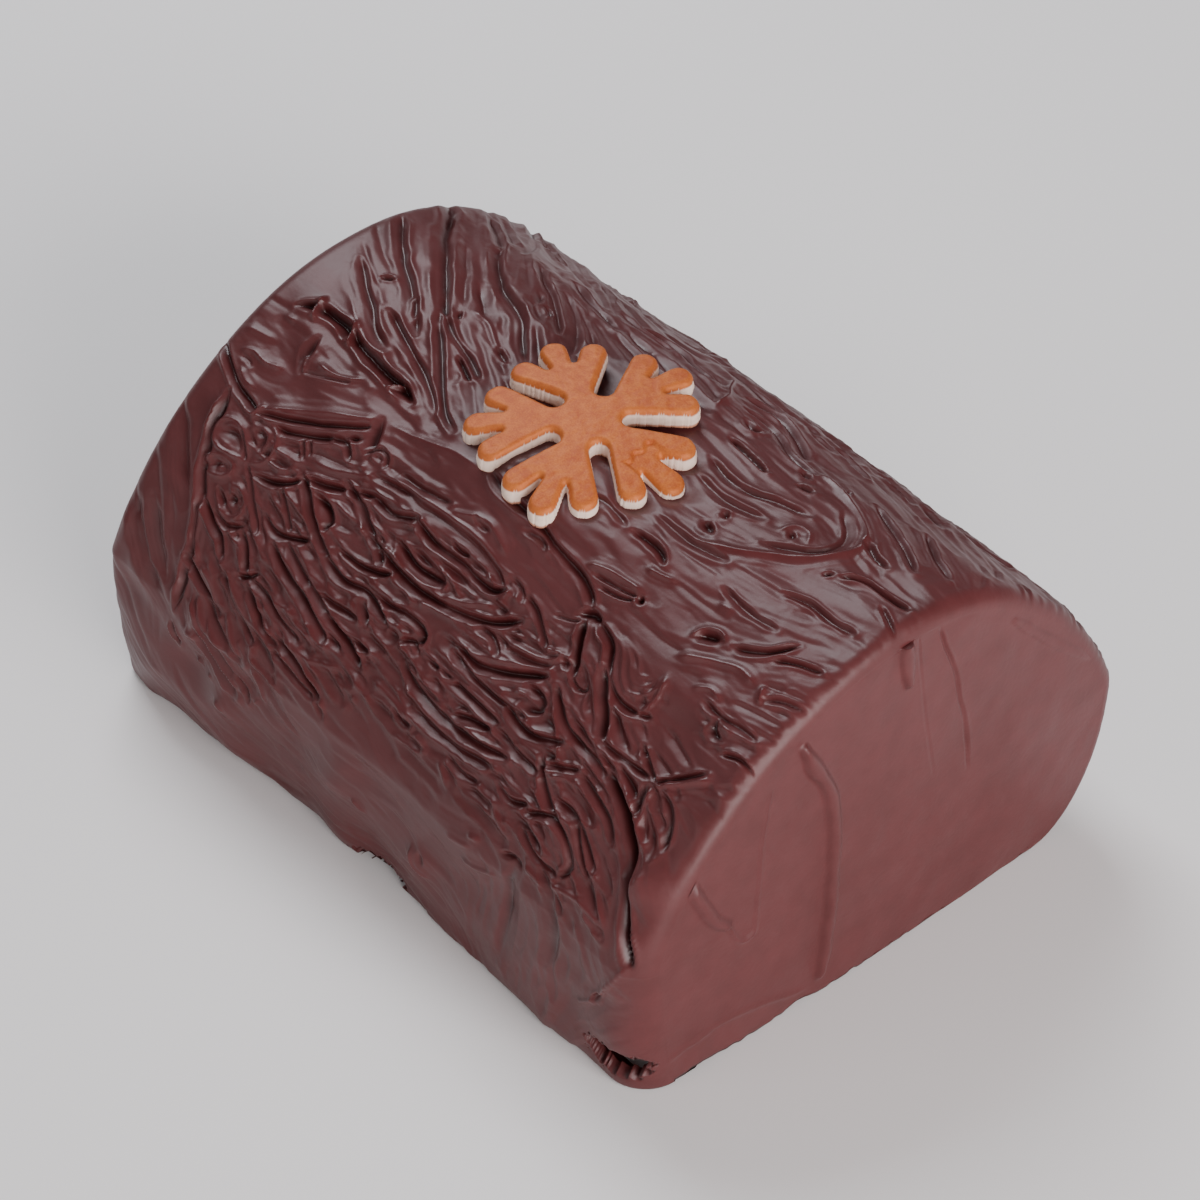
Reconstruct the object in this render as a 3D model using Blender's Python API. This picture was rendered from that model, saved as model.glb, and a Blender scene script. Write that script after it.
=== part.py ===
"""Yule log cake: a fork-worked chocolate coat over a sponge core, with a fondant snowflake pressed into it.

Frame: +X runs along the log to its smooth front end, -Y is the broad worked flank, +Z is up.
Metres throughout. A place on the coat is given as (along, around) in millimetres: along is X, and
around is the distance over the coat from the crown line, positive down the broad flank.
"""

import math
from dataclasses import dataclass

import bmesh
import bpy
import numpy as np
from mathutils import Vector
from mathutils.geometry import delaunay_2d_cdt

MM = 0.001

FRONT_END = 85.0
BACK_END = -87.2
HEIGHT = 89.6
WIDEST_HEIGHT = 36.7
BROAD_SIDE = 73.6
NARROW_SIDE = 61.9
BROAD_FOOT = 69.7
NARROW_FOOT = 42.5
SIDE_POWER = 2.106
TOP_POWER = 1.214
CROWN_Y = 8.26
MIDDLE_X = 0.55
BACK_END_SHIFT = -2.6

COAT_THICKNESS = 5.2
END_COAT_THICKNESS = 4.2
CLEARANCE = 0.3
FRONT_RIM_RADIUS = 3.6
BACK_RIM_RADIUS = 4.6
FRONT_CORNER_RADIUS = 8.5

FINE_STEP = 3.5
COARSE_STEP = 6.5
WORKED_FROM = -36.0
NARROWEST_STROKE = 3.1
END_COLUMNS = 10
CORE_STEP = 9.0

FLAKE_CENTRE = (-1.2, -11.6, 93.8)
FLAKE_SLOPE = (-0.036, 0.100)
FLAKE_DROOP = 0.0035
FLAKE_TURN = 153.9
ARM_SWINGS = (4.0, -1.0, -2.0, -3.5, 2.0)
FLAKE_ARMS = len(ARM_SWINGS)
FLAKE_THICKNESS = 4.6
FLAKE_EDGE_RADIUS = 1.0
FLAKE_STEP = 4.0
LOBE_RADIUS = 2.9
LOBE_TAPER = 6.0
TIP_REACH = 22.9
SIDE_TIP = (19.2, 7.5)
SIDE_SLANT = 35.0
NOTCH_REACH = 9.1
FORK_RADIUS = 0.5
PRESS_MARGIN = 5.0
PRESS_SLOPE = 0.7
LOBE_STEPS = 7
NOTCH_STEPS = 4

COAT_COLOUR = (0.072, 0.036, 0.031)
SPONGE_COLOUR = (0.055, 0.026, 0.017)
GOLD_COLOUR = (0.55, 0.19, 0.055)


@dataclass(frozen=True)
class Stroke:
    """A knife or fork stroke: a trough along a route, with a raised lip on each side."""

    route: tuple
    width: float
    depth: float
    lip: float = 0.0


@dataclass(frozen=True)
class Mound:
    """A raised or, where its height is negative, a sunken place on the coat."""

    along: float
    around: float
    length: float
    breadth: float
    height: float


STROKES = (
    Stroke(((-84, -20), (-74, -10), (-63, -1), (-52, 6), (-42, 13)), 3.0, 1.7, 0.5),
    Stroke(((-70, -20), (-58, -11), (-49, -6), (-38, -1), (-30, 5)), 2.8, 1.6, 0.5),
    Stroke(((-75, 10), (-66, 17), (-57, 21), (-50, 24)), 2.4, 1.4, 0.4),
    Stroke(((-60, 8), (-50, 12), (-39, 18), (-28, 24)), 2.4, 1.5, 0.5),
    Stroke(((-77, 25), (-66, 24), (-50, 27), (-36, 29)), 2.0, 2.6, 0.9),
    Stroke(((-20, 31), (-6, 33), (10, 34), (24, 37), (32, 41)), 2.2, 2.0, 0.8),
    Stroke(((31, 41), (40, 46), (46, 51), (55, 53)), 2.0, 1.8, 0.8),
    Stroke(((31, 43), (37, 52), (43, 59), (53, 62)), 2.2, 1.6, 0.7),
    Stroke(((-67, 50), (-52, 46), (-37, 39)), 2.0, 1.7, 0.7),
    Stroke(((-64, 45), (-50, 40), (-38, 34)), 2.0, 1.2, 0.7),
    Stroke(((-85, 42), (-77, 46), (-67, 49)), 2.0, 2.0, 0.4),
    Stroke(((-75, 54), (-71, 61), (-67, 70), (-63, 79), (-61, 90), (-61, 103)), 2.8, 1.7, 0.9),
    Stroke(((60, 65), (67, 70), (74, 77), (80, 91)), 2.4, 2.2, 0.8),
    Stroke(((68, 59), (73, 55), (77, 52)), 1.8, -1.4),
    Stroke(((68, 59), (70, 66), (70, 70)), 1.8, -1.2),
    Stroke(((-30, 46), (-14, 45), (0, 46), (12, 49)), 2.2, 1.5, 0.7),
    Stroke(((-30, 62), (-14, 66), (2, 64), (16, 60), (28, 58)), 2.4, 1.6, 0.8),
    Stroke(((-44, 69), (-30, 73), (-16, 75), (-4, 74)), 2.4, 1.7, 0.8),
    Stroke(((4, 75), (16, 77), (30, 78), (44, 75)), 2.4, 1.6, 0.8),
    Stroke(((-34, 86), (-24, 88), (-14, 91)), 2.4, 1.6, 0.7),
    Stroke(((-58, 62), (-52, 68), (-46, 73)), 2.2, 1.6, 0.7),
    Stroke(((-52, 56), (-44, 62), (-34, 68), (-22, 70)), 2.2, 1.5, 0.7),
    Stroke(((34, 70), (44, 68), (52, 71), (60, 77)), 2.2, 1.4, 0.7),
    Stroke(((36, 82), (44, 86), (52, 88), (60, 93)), 2.4, 1.3, 0.6),
)

MOUNDS = (
    Mound(-4, 30, 32, 15, 3.9),
    Mound(7, 3, 12, 9, -1.5),
    Mound(-14, -3, 9, 6, -0.9),
    Mound(78, 76, 3.6, 5.0, 2.6),
    Mound(-8, 109, 7, 4.5, 1.6),
    Mound(-5, 102, 5, 3.5, 1.3),
    Mound(18, 113, 4, 4, 1.4),
    Mound(-44, 112, 5, 4, 1.3),
    Mound(-56, 98, 5, 4, 1.3),
    Mound(54, 81, 8, 5, 1.1),
    Mound(66, 110, 9, 5, 1.2),
    Mound(48, 103, 12, 8, -1.0),
    Mound(-8, 46, 14, 5, 0.6),
    Mound(66, 48, 9, 6, -0.9),
    Mound(-70, 119, 13, 16, 3.2),
    Mound(-48, 121, 14, 12, 2.0),
    Mound(58, 128, 10, 10, 1.8),
    Mound(2, 124, 9, 8, -1.2),
)


class Undulation:
    """Smooth noise over the unrolled coat, between about -1 and 1."""

    def __init__(self, seed, along, around, slant=0.0):
        self.values = np.random.default_rng(seed).uniform(-1.0, 1.0, (64, 64))
        self.along = along
        self.around = around
        self.slant = slant

    def __call__(self, x, s):
        u = x / self.along + 32.0
        v = (s - self.slant * x) / self.around + 32.0
        i = np.floor(u).astype(int)
        j = np.floor(v).astype(int)
        fu = (u - i) ** 2 * (3.0 - 2.0 * (u - i))
        fv = (v - j) ** 2 * (3.0 - 2.0 * (v - j))
        value = self.values
        i0, i1, j0, j1 = i % 64, (i + 1) % 64, j % 64, (j + 1) % 64
        low = value[i0, j0] * (1 - fu) + value[i1, j0] * fu
        high = value[i0, j1] * (1 - fu) + value[i1, j1] * fu
        return low * (1 - fv) + high * fv


def smoothstep(low, high, value):
    t = np.clip((value - low) / (high - low), 0.0, 1.0)
    return t * t * (3.0 - 2.0 * t)


def side_profile(widest, foot, inset):
    """One side of the cross-section from the foot to the crown, as (distance from the crown line, height)."""
    widest, foot = widest - inset, foot - inset
    crown = HEIGHT - inset
    low = np.linspace(0.0, 1.0, 60)
    bulge = foot + (widest - foot) * np.sqrt(1.0 - (1.0 - low) ** 2)
    turn = np.linspace(0.0, math.pi / 2, 160)[1:]
    arch = widest * np.cos(turn) ** (2.0 / SIDE_POWER)
    rise = WIDEST_HEIGHT + (crown - WIDEST_HEIGHT) * np.sin(turn) ** (2.0 / TOP_POWER)
    return np.concatenate([bulge, arch]), np.concatenate([WIDEST_HEIGHT * low, rise])


class Section:
    """The smooth cross-section under the relief, walked by the distance around from the crown."""

    def __init__(self, inset=0.0):
        narrow_y, narrow_z = side_profile(NARROW_SIDE, NARROW_FOOT, inset)
        broad_y, broad_z = side_profile(BROAD_SIDE, BROAD_FOOT, inset)
        y = np.concatenate([narrow_y, -broad_y[-2::-1]])
        z = np.concatenate([narrow_z, broad_z[-2::-1]])
        walked = np.concatenate([[0.0], np.cumsum(np.hypot(np.diff(y), np.diff(z)))])
        self.around = walked - walked[len(narrow_y) - 1]
        self.y = y
        self.z = z

    def point(self, s):
        return np.interp(s, self.around, self.y), np.interp(s, self.around, self.z)

    def outward(self, s):
        """Unit direction in which relief grows: the normal, kept from turning down near the feet."""
        span = 1.5
        y0, z0 = self.point(s - span)
        y1, z1 = self.point(s + span)
        ny, nz = z1 - z0, np.maximum(y0 - y1, 0.0)
        size = np.hypot(ny, nz)
        return ny / size, nz / size


def rows_around(section, fine, coarse):
    """Distances around the coat, closer together on the worked side that shows."""
    narrow_end, broad_end = section.around[0], section.around[-1]
    hidden = np.linspace(narrow_end, WORKED_FROM, round((WORKED_FROM - narrow_end) / coarse) + 1)
    shown = np.linspace(WORKED_FROM, broad_end, round((broad_end - WORKED_FROM) / fine) + 1)
    rows = np.concatenate([hidden, shown[1:]])
    return rows if len(rows) % 2 else np.delete(rows, 1)


def stroke_height(x, s, stroke):
    """Relief of one stroke at each place, from its distance to the stroke's route."""
    distance = np.full(np.shape(x), 1e9)
    for (x0, s0), (x1, s1) in zip(stroke.route, stroke.route[1:]):
        dx, ds = x1 - x0, s1 - s0
        t = np.clip(((x - x0) * dx + (s - s0) * ds) / (dx * dx + ds * ds), 0.0, 1.0)
        distance = np.minimum(distance, np.hypot(x - x0 - t * dx, s - s0 - t * ds))
    width = max(stroke.width, NARROWEST_STROKE)
    trough = np.exp(-((distance / width) ** 2))
    lips = np.exp(-(((distance - 1.9 * width) / (0.8 * width)) ** 2))
    return stroke.lip * lips - stroke.depth * trough


def mound_height(x, s, mound):
    reach = ((x - mound.along) / mound.length) ** 2 + ((s - mound.around) / mound.breadth) ** 2
    return mound.height * np.exp(-reach)


def coat_relief(x, s):
    """Height of the worked chocolate over the smooth section, in millimetres."""
    swell = Undulation(11, 26.0, 22.0)(x, s)
    sweep = Undulation(5, 30.0, 7.5, 0.55)(x, s) * smoothstep(10.0, -40.0, x)
    sweep = sweep + Undulation(6, 26.0, 7.0, 0.15)(x, s) * smoothstep(-40.0, 10.0, x)
    crown = smoothstep(52.0, 30.0, s)
    flank = smoothstep(30.0, 52.0, s) * smoothstep(112.0, 92.0, s)
    foot = smoothstep(88.0, 108.0, s)
    worked = smoothstep(-84.0, -72.0, x) * smoothstep(84.0, 77.0, x)
    height = 0.55 * swell + 0.9 * sweep * crown * worked
    height = height + 0.8 * Undulation(8, 15.0, 6.0)(x, s) * flank * worked
    height = height + 1.1 * Undulation(9, 11.0, 9.0)(x, s) * foot
    for stroke in STROKES:
        height = height + stroke_height(x, s, stroke)
    for mound in MOUNDS:
        height = height + mound_height(x, s, mound)
    return height


def foot_height(x, side):
    """How far the ragged lower edge of the coat stands off the surface under the cake."""
    wave = 0.5 + 0.5 * Undulation(21 + side, 9.0, 1.0)(x, np.zeros(np.shape(x)))
    return 0.15 + 2.0 * wave ** 2


def rim_radius(s, at_front):
    """Radius where the coat turns on to an end: larger down the front broad corner."""
    if not at_front:
        return np.full(np.shape(s), BACK_RIM_RADIUS)
    return FRONT_RIM_RADIUS + (FRONT_CORNER_RADIUS - FRONT_RIM_RADIUS) * smoothstep(64.0, 112.0, s)


def arc(centre, radius, start, stop, steps):
    """Points of an arc in the plane; angles in degrees."""
    turns = np.radians(np.linspace(start, stop, steps + 1))
    return np.stack([centre[0] + radius * np.cos(turns), centre[1] + radius * np.sin(turns)], axis=-1)


def heading(degrees):
    return np.array((math.cos(math.radians(degrees)), math.sin(math.radians(degrees))))


def flake_outline(inset):
    """The snowflake's outline, drawn in by an inset: each arm is a middle lobe between two slanting ones."""
    half_arm = 180.0 / FLAKE_ARMS
    lobe, fork = LOBE_RADIUS - inset, FORK_RADIUS + inset
    side_tip, tip = np.array(SIDE_TIP), np.array((TIP_REACH, 0.0))
    outer_edge = side_tip + LOBE_RADIUS * heading(SIDE_SLANT + 90.0)
    notch_centre = NOTCH_REACH * heading(half_arm)
    notch = abs(np.dot(notch_centre - outer_edge, heading(SIDE_SLANT + 90.0))) + inset
    side_normal = heading(SIDE_SLANT - LOBE_TAPER - 90.0)
    middle_normal = heading(LOBE_TAPER + 90.0)
    reach = LOBE_RADIUS + FORK_RADIUS
    offsets = np.array((np.dot(side_tip, side_normal) + reach, np.dot(tip, middle_normal) + reach))
    fork_centre = np.linalg.solve(np.array((side_normal, middle_normal)), offsets)
    upper = [
        arc(notch_centre, notch, half_arm + 180.0, SIDE_SLANT + 270.0, NOTCH_STEPS),
        arc(side_tip, lobe, SIDE_SLANT + 90.0, SIDE_SLANT - LOBE_TAPER - 90.0, LOBE_STEPS),
        arc(fork_centre, fork, SIDE_SLANT - LOBE_TAPER + 90.0, LOBE_TAPER + 270.0, 2),
        arc(tip, lobe, LOBE_TAPER + 90.0, 0.0, LOBE_STEPS // 2 + 1),
    ]
    upper = np.concatenate(upper)
    lower = upper[-2:0:-1] * (1.0, -1.0)
    arm = np.concatenate([upper, lower])[::-1]
    reach = np.hypot(arm[:, 0], arm[:, 1])
    turn = np.arctan2(arm[:, 1], arm[:, 0])
    points = []
    for k, swing in enumerate(ARM_SWINGS):
        bent = turn + np.radians(FLAKE_TURN + 360.0 * k / FLAKE_ARMS + swing * smoothstep(8.0, 15.0, reach))
        points.append(np.stack([reach * np.cos(bent), reach * np.sin(bent)], axis=-1))
    return np.concatenate(points)


def flake_top(u, v):
    """Height of the snowflake's top face over its plan: a tilted plate whose arms droop."""
    return FLAKE_CENTRE[2] + FLAKE_SLOPE[0] * u + FLAKE_SLOPE[1] * v - FLAKE_DROOP * (u * u + v * v)


def flake_point(point, level):
    """A plan point of the snowflake as a point in metres, level millimetres over its top face."""
    u, v = point
    x = FLAKE_CENTRE[0] + u + MIDDLE_X
    y = FLAKE_CENTRE[1] + v + CROWN_Y
    return x * MM, y * MM, (flake_top(u, v) + level) * MM


def distance_to_edge(u, v, outline):
    """Distance from plan points to the nearest place on a closed outline."""
    nearest = np.full(u.shape, 1e9)
    for (u0, v0), (u1, v1) in zip(outline, np.roll(outline, -1, axis=0)):
        du, dv = u1 - u0, v1 - v0
        t = np.clip(((u - u0) * du + (v - v0) * dv) / (du * du + dv * dv), 0.0, 1.0)
        nearest = np.minimum(nearest, np.hypot(u - u0 - t * du, v - v0 - t * dv))
    return nearest


def distance_to_outline(u, v, outline):
    """Distance from plan points to a closed outline, and 0 inside it."""
    inside = np.zeros(u.shape, bool)
    for (u0, v0), (u1, v1) in zip(outline, np.roll(outline, -1, axis=0)):
        if v1 != v0:
            inside ^= ((v0 > v) != (v1 > v)) & (u < u0 + (u1 - u0) * (v - v0) / (v1 - v0))
    return np.where(inside, 0.0, distance_to_edge(u, v, outline))


def press_under_flake(points):
    """Lowers coat points, in millimetres, that would reach into the snowflake lying on them."""
    u = points[..., 0] - FLAKE_CENTRE[0] - MIDDLE_X
    v = points[..., 1] - FLAKE_CENTRE[1] - CROWN_Y
    beyond = np.maximum(distance_to_outline(u, v, flake_outline(0.0)) - PRESS_MARGIN, 0.0)
    limit = flake_top(u, v) - FLAKE_THICKNESS - CLEARANCE + PRESS_SLOPE * beyond
    pressed = points.copy()
    pressed[..., 2] = np.minimum(points[..., 2], limit)
    return pressed


def grid_point(section, along, s, inset_from_rim, relief):
    """Coat point in metres at a distance along the log, pulled in by the rim's rounding."""
    y, z = section.point(s)
    ny, nz = section.outward(s)
    shift = BACK_END_SHIFT * smoothstep(20.0, -85.0, along)
    y = y + ny * (relief - inset_from_rim) + shift + CROWN_Y
    z = z + nz * (relief - inset_from_rim)
    points = np.stack(np.broadcast_arrays(along + MIDDLE_X, y, z), axis=-1)
    return press_under_flake(points) * MM


def barrel_rings(section, rows, step, ends, with_relief):
    """Rings of points from the back rim to the front rim, as one array of (ring, row, xyz)."""
    back, front = ends
    count = round((front - back) / step)
    back_radius, front_radius = rim_radius(rows, False), rim_radius(rows, True)
    rings = []
    turns = (90.0, 55.0, 25.0) if with_relief else (90.0,)
    for turn in turns:
        sine, cosine = math.sin(math.radians(turn)), math.cos(math.radians(turn))
        along = back + back_radius * (1.0 - sine)
        rings.append((along, back_radius * (1.0 - cosine)))
    for i in range(count + 1):
        start, stop = back + back_radius, front - front_radius
        rings.append((start + (stop - start) * i / count, np.zeros(len(rows))))
    for turn in reversed(turns):
        sine, cosine = math.sin(math.radians(turn)), math.cos(math.radians(turn))
        along = front - front_radius * (1.0 - sine)
        rings.append((along, front_radius * (1.0 - cosine)))
    made = []
    for along, inset in rings:
        relief = coat_relief(along, rows) * (1.0 - 0.75 * inset / 9.0) if with_relief else 0.0
        ring = grid_point(section, along, rows, inset, relief)
        if with_relief:
            ring[0, 2] = foot_height(along[:1], 0)[0] * MM
            ring[-1, 2] = foot_height(along[-1:], 1)[0] * MM
        made.append(ring)
    return np.array(made)


def face_between(mesh, *corners):
    """Adds a face unless its corners have run together."""
    distinct = list(dict.fromkeys(corners))
    if len(distinct) > 2:
        mesh.faces.new(distinct)


def end_cap(mesh, ring, columns, dome):
    """Closes one end: each row joins the two points of the ring at like distances from the feet."""
    top = len(ring) // 2
    rows = []
    for i in range(top):
        left, right = ring[i], ring[-1 - i]
        row = [left]
        for k in range(1, columns):
            share = k / columns
            co = left.co.lerp(right.co, share)
            bulge = dome * math.sin(math.pi * share) * (0.4 + 0.6 * math.sin(math.pi * (0.5 + i / top / 2)))
            co.x += bulge * MM
            row.append(mesh.verts.new(co))
        rows.append(row + [right])
    rows.append([ring[top]] * (columns + 1))
    for low, high in zip(rows, rows[1:]):
        for k in range(columns):
            face_between(mesh, low[k], low[k + 1], high[k + 1], high[k])
    return rows[0]


def closed_log(name, section, step, ends, with_relief, columns, base_level):
    """A closed log: barrel, two ends and an underside, its feet joined straight across."""
    rows = rows_around(section, step, max(step, COARSE_STEP))
    points = barrel_rings(section, rows, step, ends, with_relief)
    if base_level is not None:
        points[:, [0, -1], 2] = base_level * MM
    mesh = bmesh.new()
    rings = [[mesh.verts.new(point) for point in ring] for ring in points]
    for ring, after in zip(rings, rings[1:]):
        for j in range(len(ring) - 1):
            face_between(mesh, ring[j], ring[j + 1], after[j + 1], after[j])
    dome = 0.5 if with_relief else 0.0
    back_low = end_cap(mesh, rings[0], columns, -dome)
    front_low = end_cap(mesh, rings[-1], columns, dome)
    under = [back_low]
    for ring in rings[1:-1]:
        row = [ring[0]]
        for k in range(1, columns):
            row.append(mesh.verts.new(ring[0].co.lerp(ring[-1].co, k / columns)))
        under.append(row + [ring[-1]])
    under.append(front_low)
    for row, after in zip(under, under[1:]):
        for k in range(columns):
            face_between(mesh, row[k], row[k + 1], after[k + 1], after[k])
    bmesh.ops.recalc_face_normals(mesh, faces=mesh.faces)
    return object_from(mesh, name)


def object_from(mesh, name):
    """Turns a bmesh into a smooth-shaded object in the scene."""
    data = bpy.data.meshes.new(name)
    mesh.to_mesh(data)
    mesh.free()
    data.shade_smooth()
    made = bpy.data.objects.new(name, data)
    bpy.context.scene.collection.objects.link(made)
    return made


def lumpy_ball(name, centre, radii, roughness, seed):
    """A closed uneven lump, at a centre and with half-sizes in millimetres."""
    mesh = bmesh.new()
    bmesh.ops.create_icosphere(mesh, subdivisions=2, radius=1.0)
    rng = np.random.default_rng(seed)
    for vert in mesh.verts:
        vert.co *= 1.0 + roughness * rng.uniform(-1.0, 1.0)
        vert.co.x = (vert.co.x * radii[0] + centre[0] + MIDDLE_X) * MM
        vert.co.y = (vert.co.y * radii[1] + centre[1] + CROWN_Y) * MM
        vert.co.z = (vert.co.z * radii[2] + centre[2]) * MM
    return object_from(mesh, name)


def drip_tube(name, route, radius, lift):
    """A rounded drip down the front end: route is (sideways, height) from the crown line."""
    sides = 8
    mesh = bmesh.new()
    x = FRONT_END + MIDDLE_X + lift
    spine = [np.array((x, y + CROWN_Y, z)) for y, z in route]
    rings = []
    for i, centre in enumerate(spine):
        along = spine[min(i + 1, len(spine) - 1)] - spine[max(i - 1, 0)]
        along = along / np.linalg.norm(along)
        across = np.cross((1.0, 0.0, 0.0), along)
        wide = radius * (0.7 if i in (0, len(spine) - 1) else 1.0)
        ring = []
        for k in range(sides):
            turn = math.tau * k / sides
            offset = across * wide * math.cos(turn) + np.array((wide, 0.0, 0.0)) * math.sin(turn)
            ring.append(mesh.verts.new((centre + offset) * MM))
        rings.append(ring)
    for ring, after in zip(rings, rings[1:]):
        for k in range(sides):
            face_between(mesh, ring[k], ring[(k + 1) % sides], after[(k + 1) % sides], after[k])
    mesh.faces.new(rings[0][::-1])
    mesh.faces.new(rings[-1])
    bmesh.ops.recalc_face_normals(mesh, faces=mesh.faces)
    return object_from(mesh, name)


def flake_plate(name, levels):
    """The snowflake as a closed plate; levels pairs a height over the top face with an inset."""
    mesh = bmesh.new()
    rings = []
    for level, inset in levels:
        outline = flake_outline(inset)
        rings.append([mesh.verts.new(flake_point(point, level)) for point in outline])
    for ring, after in zip(rings, rings[1:]):
        for k in range(len(ring)):
            after_k = (k + 1) % len(ring)
            face_between(mesh, ring[k], ring[after_k], after[after_k], after[k])
    spots = np.arange(-24.0, 24.1, FLAKE_STEP)
    for ring, (level, inset) in ((rings[0], levels[0]), (rings[-1], levels[-1])):
        outline = flake_outline(inset)
        grid_u, grid_v = (axis.ravel() for axis in np.meshgrid(spots, spots))
        deep = distance_to_outline(grid_u, grid_v, outline) == 0.0
        deep &= distance_to_edge(grid_u, grid_v, outline) > FLAKE_STEP / 2
        inner = np.stack([grid_u[deep], grid_v[deep]], axis=-1)
        plan = [Vector(point) for point in np.concatenate([outline, inner])]
        corners = ring + [mesh.verts.new(flake_point(point, level)) for point in inner]
        filled = delaunay_2d_cdt(plan, [], [range(len(outline))], 1, 1e-6)
        for triangle in filled[2]:
            mesh.faces.new([corners[filled[3][corner][0]] for corner in triangle])
    bmesh.ops.recalc_face_normals(mesh, faces=mesh.faces)
    return object_from(mesh, name)


def combine(target, others, operation):
    """Applies one Boolean of several helpers to a target, and removes the helpers."""
    helpers = bpy.data.collections.new("helpers")
    bpy.context.scene.collection.children.link(helpers)
    for other in others:
        bpy.context.scene.collection.objects.unlink(other)
        helpers.objects.link(other)
    modifier = target.modifiers.new("combine", "BOOLEAN")
    modifier.operation = operation
    modifier.operand_type = "COLLECTION"
    modifier.collection = helpers
    modifier.solver = "EXACT"
    bpy.context.view_layer.update()
    graph = bpy.context.evaluated_depsgraph_get()
    data = bpy.data.meshes.new_from_object(target.evaluated_get(graph))
    target.modifiers.clear()
    target.data = data
    for other in list(helpers.objects):
        bpy.data.objects.remove(other)
    bpy.data.collections.remove(helpers)


def keep_largest_body(target):
    """Drops loose scraps that a cut leaves beside the main body."""
    mesh = bmesh.new()
    mesh.from_mesh(target.data)
    bodies, seen = [], set()
    for start in mesh.verts:
        if start in seen:
            continue
        body, edge_of = [], [start]
        seen.add(start)
        while edge_of:
            vert = edge_of.pop()
            body.append(vert)
            for edge in vert.link_edges:
                other = edge.other_vert(vert)
                if other not in seen:
                    seen.add(other)
                    edge_of.append(other)
        bodies.append(body)
    bodies.sort(key=len)
    for body in bodies[:-1]:
        bmesh.ops.delete(mesh, geom=body, context="VERTS")
    mesh.to_mesh(target.data)
    mesh.free()


def dress(target, colour, roughness, metallic):
    """Gives an object its own Principled material."""
    material = bpy.data.materials.new(target.name)
    material.use_nodes = True
    shader = material.node_tree.nodes["Principled BSDF"]
    shader.inputs["Base Color"].default_value = (*colour, 1.0)
    shader.inputs["Roughness"].default_value = roughness
    shader.inputs["Metallic"].default_value = metallic
    target.data.materials.clear()
    target.data.materials.append(material)
    target.data.shade_smooth()


def build_coating():
    """The chocolate coat: a shell over the sponge, open underneath, with the broken front corner."""
    coating = closed_log("coating", Section(), FINE_STEP, (BACK_END, FRONT_END), True, END_COLUMNS, None)
    drips = [
        drip_tube("main_drip", ((-28, 71), (-23, 61), (-21, 52), (-21, 30), (-21.5, 14), (-23, 5)), 1.9, -0.3),
        drip_tube("side_drip", ((-60, 58), (-56, 50), (-52, 42), (-49, 38)), 1.7, -0.4),
        drip_tube("short_drop", ((-2.5, 84), (-2.2, 79), (-2, 75)), 2.3, -0.7),
    ]
    foot_lump = lumpy_ball("foot_lump", (83.2, 24.0, 4.8), (3.1, 11.0, 4.0), 0.08, 7)
    combine(coating, drips + [foot_lump], "UNION")
    ends = (BACK_END + END_COAT_THICKNESS, FRONT_END - END_COAT_THICKNESS)
    inner = closed_log("inner", Section(COAT_THICKNESS), CORE_STEP, ends, False, 4, -3.0)
    corner_hole = lumpy_ball("corner_hole", (77.0, -70.5, 7.6), (7.6, 8.0, 4.2), 0.10, 3)
    side_gap = lumpy_ball("side_gap", (0.5, -72.0, 1.5), (8.5, 6.0, 2.6), 0.10, 4)
    combine(coating, [inner, corner_hole, side_gap], "DIFFERENCE")
    keep_largest_body(coating)
    dress(coating, COAT_COLOUR, 0.38, 0.0)


def build_sponge():
    """The core: a plain flat-based log inside the coat, bitten back behind the broken corner."""
    end_inset = END_COAT_THICKNESS + CLEARANCE
    ends = (BACK_END + end_inset, FRONT_END - end_inset)
    sponge = closed_log("sponge", Section(COAT_THICKNESS + CLEARANCE), CORE_STEP, ends, False, 4, 0.0)
    bite = lumpy_ball("bite", (78.5, -66.5, 9.0), (8.5, 5.5, 4.6), 0.16, 5)
    combine(sponge, [bite], "DIFFERENCE")
    keep_largest_body(sponge)
    dress(sponge, SPONGE_COLOUR, 0.95, 0.0)


def build_snowflake():
    """The fondant snowflake, its upper edge rounded over."""
    radius = FLAKE_EDGE_RADIUS
    levels = [(-FLAKE_THICKNESS, 0.0)]
    for turn in (0.0, 45.0, 90.0):
        rounding = math.radians(turn)
        levels.append((radius * (math.sin(rounding) - 1.0), radius * (1.0 - math.cos(rounding))))
    snowflake = flake_plate("snowflake", levels)
    dress(snowflake, GOLD_COLOUR, 0.42, 0.35)


def main():
    for leftover in list(bpy.data.objects):
        bpy.data.objects.remove(leftover)
    build_coating()
    build_sponge()
    build_snowflake()


main()
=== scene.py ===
"""Visual model of the yule log cake: the worked chocolate coat, its crumb, and the gilded snowflake.

Frame: +X runs along the log to its smooth front end, -Y is the broad worked flank, +Z is up. Sizes are
in millimetres until a mesh is made. A place on the coat is given as (along, around): along is X, and
around is the distance over the coat from the crown line, positive down the broad flank.
"""

import logging
import math
from dataclasses import dataclass
from enum import Enum
from typing import Any, Callable, Sequence

import bmesh
import bpy
import numpy as np
from mathutils import Matrix, Vector


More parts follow.
